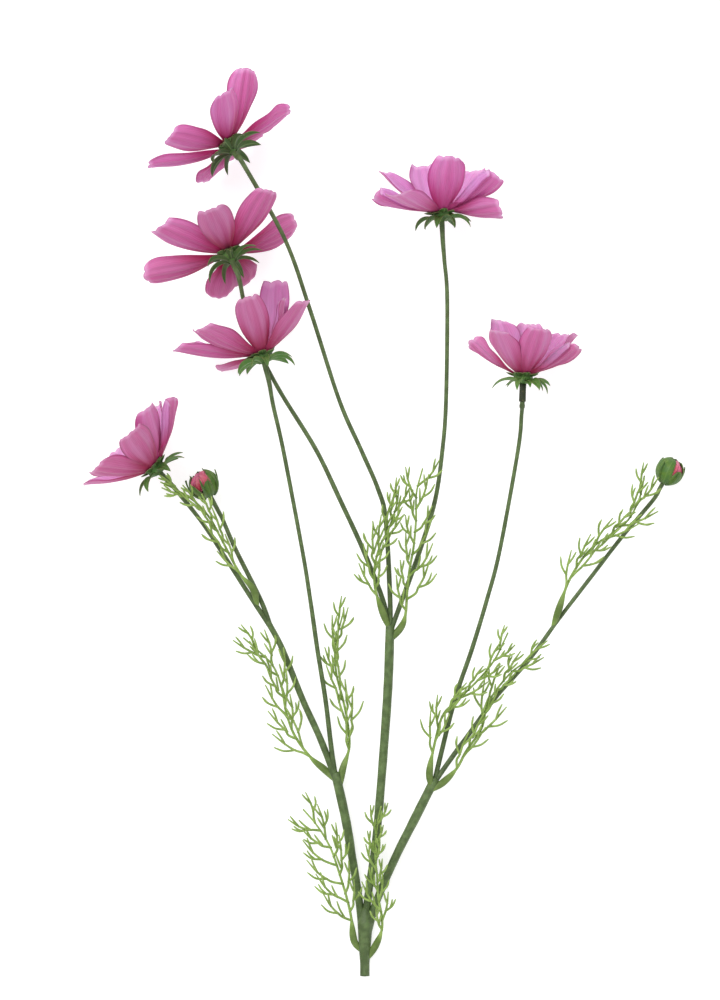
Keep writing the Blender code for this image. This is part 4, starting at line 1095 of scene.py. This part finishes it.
class COSMOS_OT_buds(bpy.types.Operator):
    """Build the buds: a globe of sepals over a crumple of petals"""

    bl_idname = "cosmos.buds"
    bl_label = "Buds"

    def execute(self, context):
        greens = bract_skin("sepal", context.scene.cosmos_greens.sepal, "#5A7A2C", 0.15)
        young = context.scene.cosmos_petals.young
        pinks = petal_tissue("young_petal", "#B8343F", young, "#E88A9C", "#F0A8B4")
        for number, (name, bud) in enumerate(BUDS.items()):
            rng = random.Random(BUD_SEED + number)
            where = (Vector(bud["centre"]), *axes(bud["bearing"], bud["pitch"]))
            slim, stand, relief = BUD_LOOKS[name]
            draft = Draft("along", "across", "shade", "dry")
            add_sepals(draft, where, bud, relief, rng)
            add_slim_bracts(draft, where, bud, slim, stand, rng)
            lining = [(-BUD_BASE - 2, bud["radius"] - 0.6), (-30, bud["radius"] - 1.0)]
            add_globe_bands(draft, where, lining, along=0.3, across=0.5)
            draft.piece(name + "_sepal_globe", greens, name + "_sepals")
            draft = Draft("along", "across", "face", "tint", "claw")
            add_crumple(draft, where, bud, rng)
            draft.piece(name + "_crumple", pinks, name + "_petals")
        return {"FINISHED"}


# Stem --------------------------------------------------------------------------------------------
STEM_SIDES = 20
STEM_STEP = 8
RIDGES = 5
RIDGE_DEPTH = 0.05
# A stalk's thickness wanders by this share, over stretches about as long as 1 / WANDER.
UNEVENNESS, WANDER = 0.06, 0.15
TRUNK_SHADE, STALK_SHADE = 0.12, 0.14
# A stalk's last knots lie on its head's own axis, this far behind its end; the last reaches into the head.
RUN_UPS = (NECK_RUN, NECK_RUN / 3, -0.6)
BUD_NECK_SWELL = 0.1
# A stalk starts to swell this many stretches before its end, and is full this many before it.
NECK_START, NECK_FULL = 3.2, 0.5
# Distances back from a stalk's end and half widths there, and how dark it is: a sleeve and the knot below it.
SLEEVE = ((10.0, 9.8, 6.5, 3.0, 0.2), (1.6, 1.95, 1.9, 1.85, 1.95), 0.9)
KNOT = ((14.6, 13.6, 12.4, 11.2, 10.2), (1.1, 1.5, 1.6, 1.35, 1.25), 0.35)


def add_stalk(draft, route, radii, neck=None, shade=0.0):
    """Ridged stalk along a route; its thickness wanders a little, and it swells into its neck."""
    path = smooth_route(route, STEM_STEP)
    last = len(path) - 1
    widths = []
    for i, point in enumerate(path):
        place = i / last * (len(radii) - 1)
        low = min(int(place), len(radii) - 2)
        width = radii[low] + (radii[low + 1] - radii[low]) * (place - low)
        if neck is not None:
            width += (neck - radii[-1]) * ease(i, last - NECK_START * STEM_STEP, last - NECK_FULL * STEM_STEP)
        widths.append(width * (1 + UNEVENNESS * noise.noise(point * WANDER)))
    add_tube(draft, path, widths, STEM_SIDES, 1.0, RIDGES, RIDGE_DEPTH, shade=shade)
    return path


class COSMOS_OT_stem(bpy.types.Operator):
    """Build the ridged stem with its branches and stalks"""

    bl_idname = "cosmos.stem"
    bl_label = "Stem"

    def execute(self, context):
        material = stem_rind(context.scene.cosmos_greens.stem)
        draft = Draft("along", "shade")
        add_stalk(draft, TRUNK, TRUNK_RADII, shade=TRUNK_SHADE)
        for route in BRANCHES.values():
            add_stalk(draft, route, (BRANCH_RADIUS + ROOT_SWELL, BRANCH_RADIUS), BRANCH_RADIUS + FORK_SWELL)
        add_stalk(draft, SHARED_STALK, (BRANCH_RADIUS, SHARED_RADIUS))
        # Each stalk ends on its flower's or bud's own axis, so far behind the crown or the middle.
        ends = {name: (*HEADS[name][:2], CALYX_END - STALK_GAP) for name in FLOWERS}
        for name, bud in BUDS.items():
            back = -bud["radius"] * math.sin(math.radians(BUD_BASE)) - STALK_GAP
            ends[name] = (Vector(bud["centre"]), axes(bud["bearing"], bud["pitch"])[0], back)
        for name, route in STALKS.items():
            origin, axis, back = ends[name]
            route = route + [origin + axis * (back - run_up) for run_up in RUN_UPS]
            radii = (STALK_RADIUS + ROOT_SWELL, STALK_RADIUS, STALK_RADIUS)
            neck = NECK_RADIUS if name in FLOWERS else STALK_RADIUS + BUD_NECK_SWELL
            path = add_stalk(draft, route, radii, neck, STALK_SHADE)
            for distances, widths, shade in (SLEEVE, KNOT) if name == "flower_6" else ():
                points = [along_path(path[::-1], distance)[0] for distance in distances]
                add_tube(draft, points, widths, STEM_SIDES, shade=shade)
        draft.piece("ridged_stem", material, "stem")
        return {"FINISHED"}


# Leaves ------------------------------------------------------------------------------------------
THREAD_SIDES = 6
THREAD_FLATTEN = 0.75
THREAD_STEP = 4
# A thread's half width against the set one: at its foot, what it loses along its length, and the share of
# the rest that it loses from TIP_START to its tip.
THREAD_FOOT, THREAD_TAPER, TIP_TAPER, TIP_START = 1.1, 0.25, 0.4, 0.85
# A thread's foot lies this far inside the thread or midrib that it leaves.
THREAD_SINK = 0.5
LEAFLET_SINK = 0.4
MIDRIB_SIDES = 10
MIDRIB_FLATTEN = 0.6
MIDRIB_FOOT, MIDRIB_TAPER = 1.05, 0.45
MIDRIB_STEP = 8
ANCHOR_STEP = 6
# The midrib starts in the middle of its stalk, this far below its foot, inside a sheath.
SHEATH_RUN = 10
SHEATH_LENGTH = 21
SHEATH_HALF = 2.1
SHEATH_SHADE = 0.45
# Added to a leaf's own seed for the draws of its leaflets' finer forks.
FORK_SEED = 500
# Gaps without leaflets at the leaf's foot, past its clasp, and at its tip.
FIRST_GAP, LAST_GAP = 3, 10
# Leaflets are longest at the foot, and each differs a little from the next in reach, angle and rise.
ROOT_REACH, REACH_LOSS = 1.1, 0.45
REACH_RANGE = (0.8, 1.15)
ANGLE_RANGE = (0.75, 1.25)
RISES = [(0.2, 0.3), (0.42, 0.55)]
# A leaflet's stretches and forks as shares of its reach, and the ways that they take: each is a mix of
# the stretch before it, then the midrib's way or the outer side, then up.
ELBOW, KNEE, TIP = 0.38, 0.26, 0.36
OUTER_FORK, INNER_FORK = 0.46, 0.4
BEND = (0.8, 0.4)
AHEAD = (0.75, 0.4)
OUTER_WAY = (0.8, 0.6, -0.2)
INNER_WAY = (0.85, -0.4, 0.3)
PRONG_BEND = (0.65, 0.55)
# Half widths of prongs at the elbow and the knee, as shares of their leaflet's.
OUTER_WIDTH, INNER_WIDTH = 0.95, 0.92
# How dark a leaflet is, and how far it bows before its elbow as a share of its reach.
LEAFLET_NATURE = {"shade": (0.0, 0.1), "bow": (-0.03, 0.06)}
# Long leaflets may have two more prongs: a lower one before the elbow and a side one on the outer fork.
# Each has its way's fixed shares, and what is drawn for it.
LONG_REACH = 11
EXTRA_FORKS = 0.55
LOWER_WAY, LOWER_WIDTH = (0.8, -0.35, 0.2), 0.9
LOWER_NATURE = {"rise": (-0.2, 0.3), "place": (0.5, 0.8), "reach": (0.3, 0.45)}
SIDE_WAY, SIDE_WIDTH = (0.85, 0.35), 0.85
SIDE_TILT, SIDE_PLACE, SIDE_REACH = 0.35, 0.35, (0.2, 0.28)


def add_thread(draft, knots, half_width, shade):
    """Thread on a smooth curve through its knots; it tapers and ends bluntly."""
    path = smooth_route(knots, THREAD_STEP)
    last = len(path) - 1
    widths = []
    for i in range(last + 1):
        width = half_width * (THREAD_FOOT - THREAD_TAPER * i / last)
        widths.append(width * (1 - TIP_TAPER * ease(i / last, TIP_START, 1.0)))
    add_tube(draft, path, widths, THREAD_SIDES, THREAD_FLATTEN, shade=shade)


def add_prong(draft, start, way, along, reach, half_width, shade):
    """Thread that leaves another and curves forwards."""
    middle = start + way * (reach * 0.5)
    end = middle + heading(PRONG_BEND, way, along) * (reach * 0.5)
    add_thread(draft, (start - way * THREAD_SINK, start, middle, end), half_width, shade)


def add_leaflet(draft, start, way, along, outward, reach, half_width, rng):
    """Thread that bends forward twice; prongs fork off at its elbow, its knee and, if it is long, between."""
    bent = heading(BEND, way, along)
    elbow = start + way * reach * ELBOW
    knee = elbow + bent * reach * KNEE
    tip = knee + heading(AHEAD, bent, along) * reach * TIP
    nature = drawn(rng, LEAFLET_NATURE)
    shade = nature.shade
    bow = start.lerp(elbow, 0.5) + outward * (reach * nature.bow)
    add_thread(draft, (start - way * LEAFLET_SINK, start, bow, elbow, knee, tip), half_width, shade)
    outer = heading(OUTER_WAY, way, outward, UP)
    inner = heading(INNER_WAY, bent, outward, UP)
    add_prong(draft, elbow, outer, along, reach * OUTER_FORK, half_width * OUTER_WIDTH, shade)
    add_prong(draft, knee, inner, along, reach * INNER_FORK, half_width * INNER_WIDTH, shade)
    if reach > LONG_REACH and rng.random() < EXTRA_FORKS:
        lower = drawn(rng, LOWER_NATURE)
        ahead = heading((*LOWER_WAY, lower.rise), way, outward, along, UP)
        root = start.lerp(elbow, lower.place)
        add_prong(draft, root, ahead, along, reach * lower.reach, half_width * LOWER_WIDTH, shade)
    if reach > LONG_REACH and rng.random() < EXTRA_FORKS:
        side = heading((*SIDE_WAY, rng.choice((-SIDE_TILT, SIDE_TILT))), outer, along, outward)
        root = elbow + outer * (reach * OUTER_FORK * SIDE_PLACE)
        add_prong(draft, root, side, along, reach * rng.uniform(*SIDE_REACH), half_width * SIDE_WIDTH, shade)


def stem_anchor(place):
    """Point on the middle of the stalk nearest to a place, a little below it on that stalk."""
    anchors = []
    for route in (TRUNK, *BRANCHES.values(), SHARED_STALK, *STALKS.values()):
        path = smooth_route(route, ANCHOR_STEP)
        for point, way in zip(path, directions(path)):
            anchors.append(((point - place).length, point - way * SHEATH_RUN))
    return min(anchors, key=lambda anchor: anchor[0])[1]


def add_leaf(draft, leaf, settings):
    """Midrib in a sheath on the stem, with forked threads that leave it by turns, left and right."""
    route, leaflets, reaches, spreads, seed = leaf
    rng = random.Random(seed)
    fine = random.Random(seed + FORK_SEED)
    coarse = smooth_route(route, THREAD_STEP)
    length = sum((b - a).length for a, b in zip(coarse, coarse[1:]))
    path = smooth_route([stem_anchor(Vector(route[0]))] + route, MIDRIB_STEP)
    half = settings.midrib_width / MM / 2
    widths = []
    gone = 0.0
    for i, point in enumerate(path):
        gone += (point - path[i - 1]).length if i else 0.0
        sheath = (SHEATH_HALF - half) * math.sin(math.pi * min(gone / SHEATH_LENGTH, 1.0))
        widths.append(half * (MIDRIB_FOOT - MIDRIB_TAPER * gone / length) + sheath)
    for loop, width in zip(add_tube(draft, path, widths, MIDRIB_SIDES, MIDRIB_FLATTEN), widths):
        for corner in loop:
            draft.fields["shade"][corner] = SHEATH_SHADE * ease(width, half, SHEATH_HALF)
    first = CLASP_LENGTH + FIRST_GAP
    for i in range(leaflets):
        middle = first + (length - first - LAST_GAP) * i / (leaflets - 1)
        start, along = along_path(coarse, middle)
        outward = along.cross(UP).normalized() * (-1, 1)[i % 2]
        reach = reaches[i % 2] * (ROOT_REACH - REACH_LOSS * middle / length) * rng.uniform(*REACH_RANGE)
        angle = math.radians(spreads[i % 2] * rng.uniform(*ANGLE_RANGE))
        rise = rng.uniform(*RISES[i % 2])
        way = heading((math.cos(angle), math.sin(angle), rise), along, outward, UP)
        add_leaflet(draft, start, way, along, outward, reach, settings.thread_width / MM / 2, fine)


class COSMOS_OT_leaves(bpy.types.Operator):
    """Build the ten thread leaves"""

    bl_idname = "cosmos.leaves"
    bl_label = "Leaves"

    def execute(self, context):
        settings = context.scene.cosmos_greens
        material = thread_leaf(settings.leaf)
        for name, leaf in LEAVES.items():
            draft = Draft("along", "shade")
            add_leaf(draft, leaf, settings)
            draft.piece(name.replace("leaf", "thread_leaf", 1), material, name)
        return {"FINISHED"}


# Stage -------------------------------------------------------------------------------------------
IMAGE_SHAPE = (720, 1000)
# The height at which the field width holds, and how far the camera stands from the spray's middle.
VIEW_HEIGHT = 35.0
CAMERA_ASIDE, CAMERA_AHEAD = -13.0, 13.3
# The floor's side and how far the camera sees, in metres.
FLOOR_SIZE, CLIP_END = 40.0, 50.0
SKY_LIGHT = 0.65
# Each lamp's strength, the angle that its light comes from, and its turn.
LAMPS = {"key": (2.0, 40, (-28, -24, 0)), "fill": (0.5, 80, (30, 32, 0))}
WHITE = (1.0, 1.0, 1.0, 1.0)


class COSMOS_OT_stage(bpy.types.Operator):
    """Build the floor, the lights and the camera that looks down on the spray"""

    bl_idname = "cosmos.stage"
    bl_label = "Stage"

    def execute(self, context):
        scene = context.scene
        settings = scene.cosmos_stage
        scene.view_settings.view_transform = "Standard"
        half = FLOOR_SIZE / 2
        mesh = bpy.data.meshes.new("floor")
        corners = [(-half, -half, 0), (half, -half, 0), (half, half, 0), (-half, half, 0)]
        mesh.from_pydata(corners, [], [(0, 1, 2, 3)])
        # Light table: white diffusing sheet that gives off a part of its own light, so shadows are faint.
        mesh.materials.append(new_material(
            "floor_paper", Roughness=0.9, Specular_IOR_Level=0.1, Base_Color=opaque(settings.floor),
            Emission_Color=WHITE, Emission_Strength=settings.glow)[0])
        floor = self.place("floor", mesh)
        floor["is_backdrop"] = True
        world = bpy.data.worlds.new("studio")
        world.use_nodes = True
        background = world.node_tree.nodes["Background"]
        background.inputs["Color"].default_value = WHITE
        background.inputs["Strength"].default_value = SKY_LIGHT
        scene.world = world
        for name, (strength, spread, turn) in LAMPS.items():
            lamp = bpy.data.lights.new(name, "SUN")
            lamp.energy = strength
            lamp.angle = math.radians(spread)
            self.place(name, lamp).rotation_euler = [math.radians(value) for value in turn]
        camera = bpy.data.cameras.new("camera")
        camera.lens = settings.lens
        camera.clip_end = CLIP_END
        tall = settings.width * IMAGE_SHAPE[1] / IMAGE_SHAPE[0]
        distance = tall * settings.lens / camera.sensor_width
        middle = (CAD_BOX[0] + CAD_BOX[1]) / 2
        scene.camera = self.place("camera", camera)
        scene.camera.location = (middle.x + CAMERA_ASIDE * MM, middle.y + CAMERA_AHEAD * MM,
                                 distance + VIEW_HEIGHT * MM)
        return {"FINISHED"}

    @staticmethod
    def place(name, data):
        """Object in the scene that holds a mesh, a lamp or a camera."""
        made = bpy.data.objects.new(name, data)
        bpy.context.scene.collection.objects.link(made)
        return made


# Panel and registration --------------------------------------------------------------------------
OPERATORS = (COSMOS_OT_petals, COSMOS_OT_calyces, COSMOS_OT_discs, COSMOS_OT_buds, COSMOS_OT_stem,
             COSMOS_OT_leaves, COSMOS_OT_stage)


class COSMOS_PT_panel(bpy.types.Panel):
    """Lists the pieces and their settings"""

    bl_idname = "COSMOS_PT_panel"
    bl_label = "Cosmos Spray"
    bl_space_type = "VIEW_3D"
    bl_region_type = "UI"
    bl_category = "Cosmos"

    def draw(self, context):
        for name, group in SETTINGS.items():
            box = self.layout.box()
            for key in group.__annotations__:
                box.prop(getattr(context.scene, name), key)
        for operator in OPERATORS:
            self.layout.operator(operator.bl_idname)


CLASSES = (*SETTINGS.values(), *OPERATORS, COSMOS_PT_panel)


def register():
    for item in CLASSES:
        bpy.utils.register_class(item)
    for name, group in SETTINGS.items():
        setattr(bpy.types.Scene, name, bpy.props.PointerProperty(type=group))


def unregister():
    for name in SETTINGS:
        delattr(bpy.types.Scene, name)
    for item in reversed(CLASSES):
        bpy.utils.unregister_class(item)


def main():
    register()
    for operator in OPERATORS:
        group, call = operator.bl_idname.split(".")
        getattr(getattr(bpy.ops, group), call)()
    boxes = {"cad": CAD_BOX, "visual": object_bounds()}
    {name: [list(corner) for corner in box] for name, box in boxes.items()}


if __name__ == "__main__":
    main()
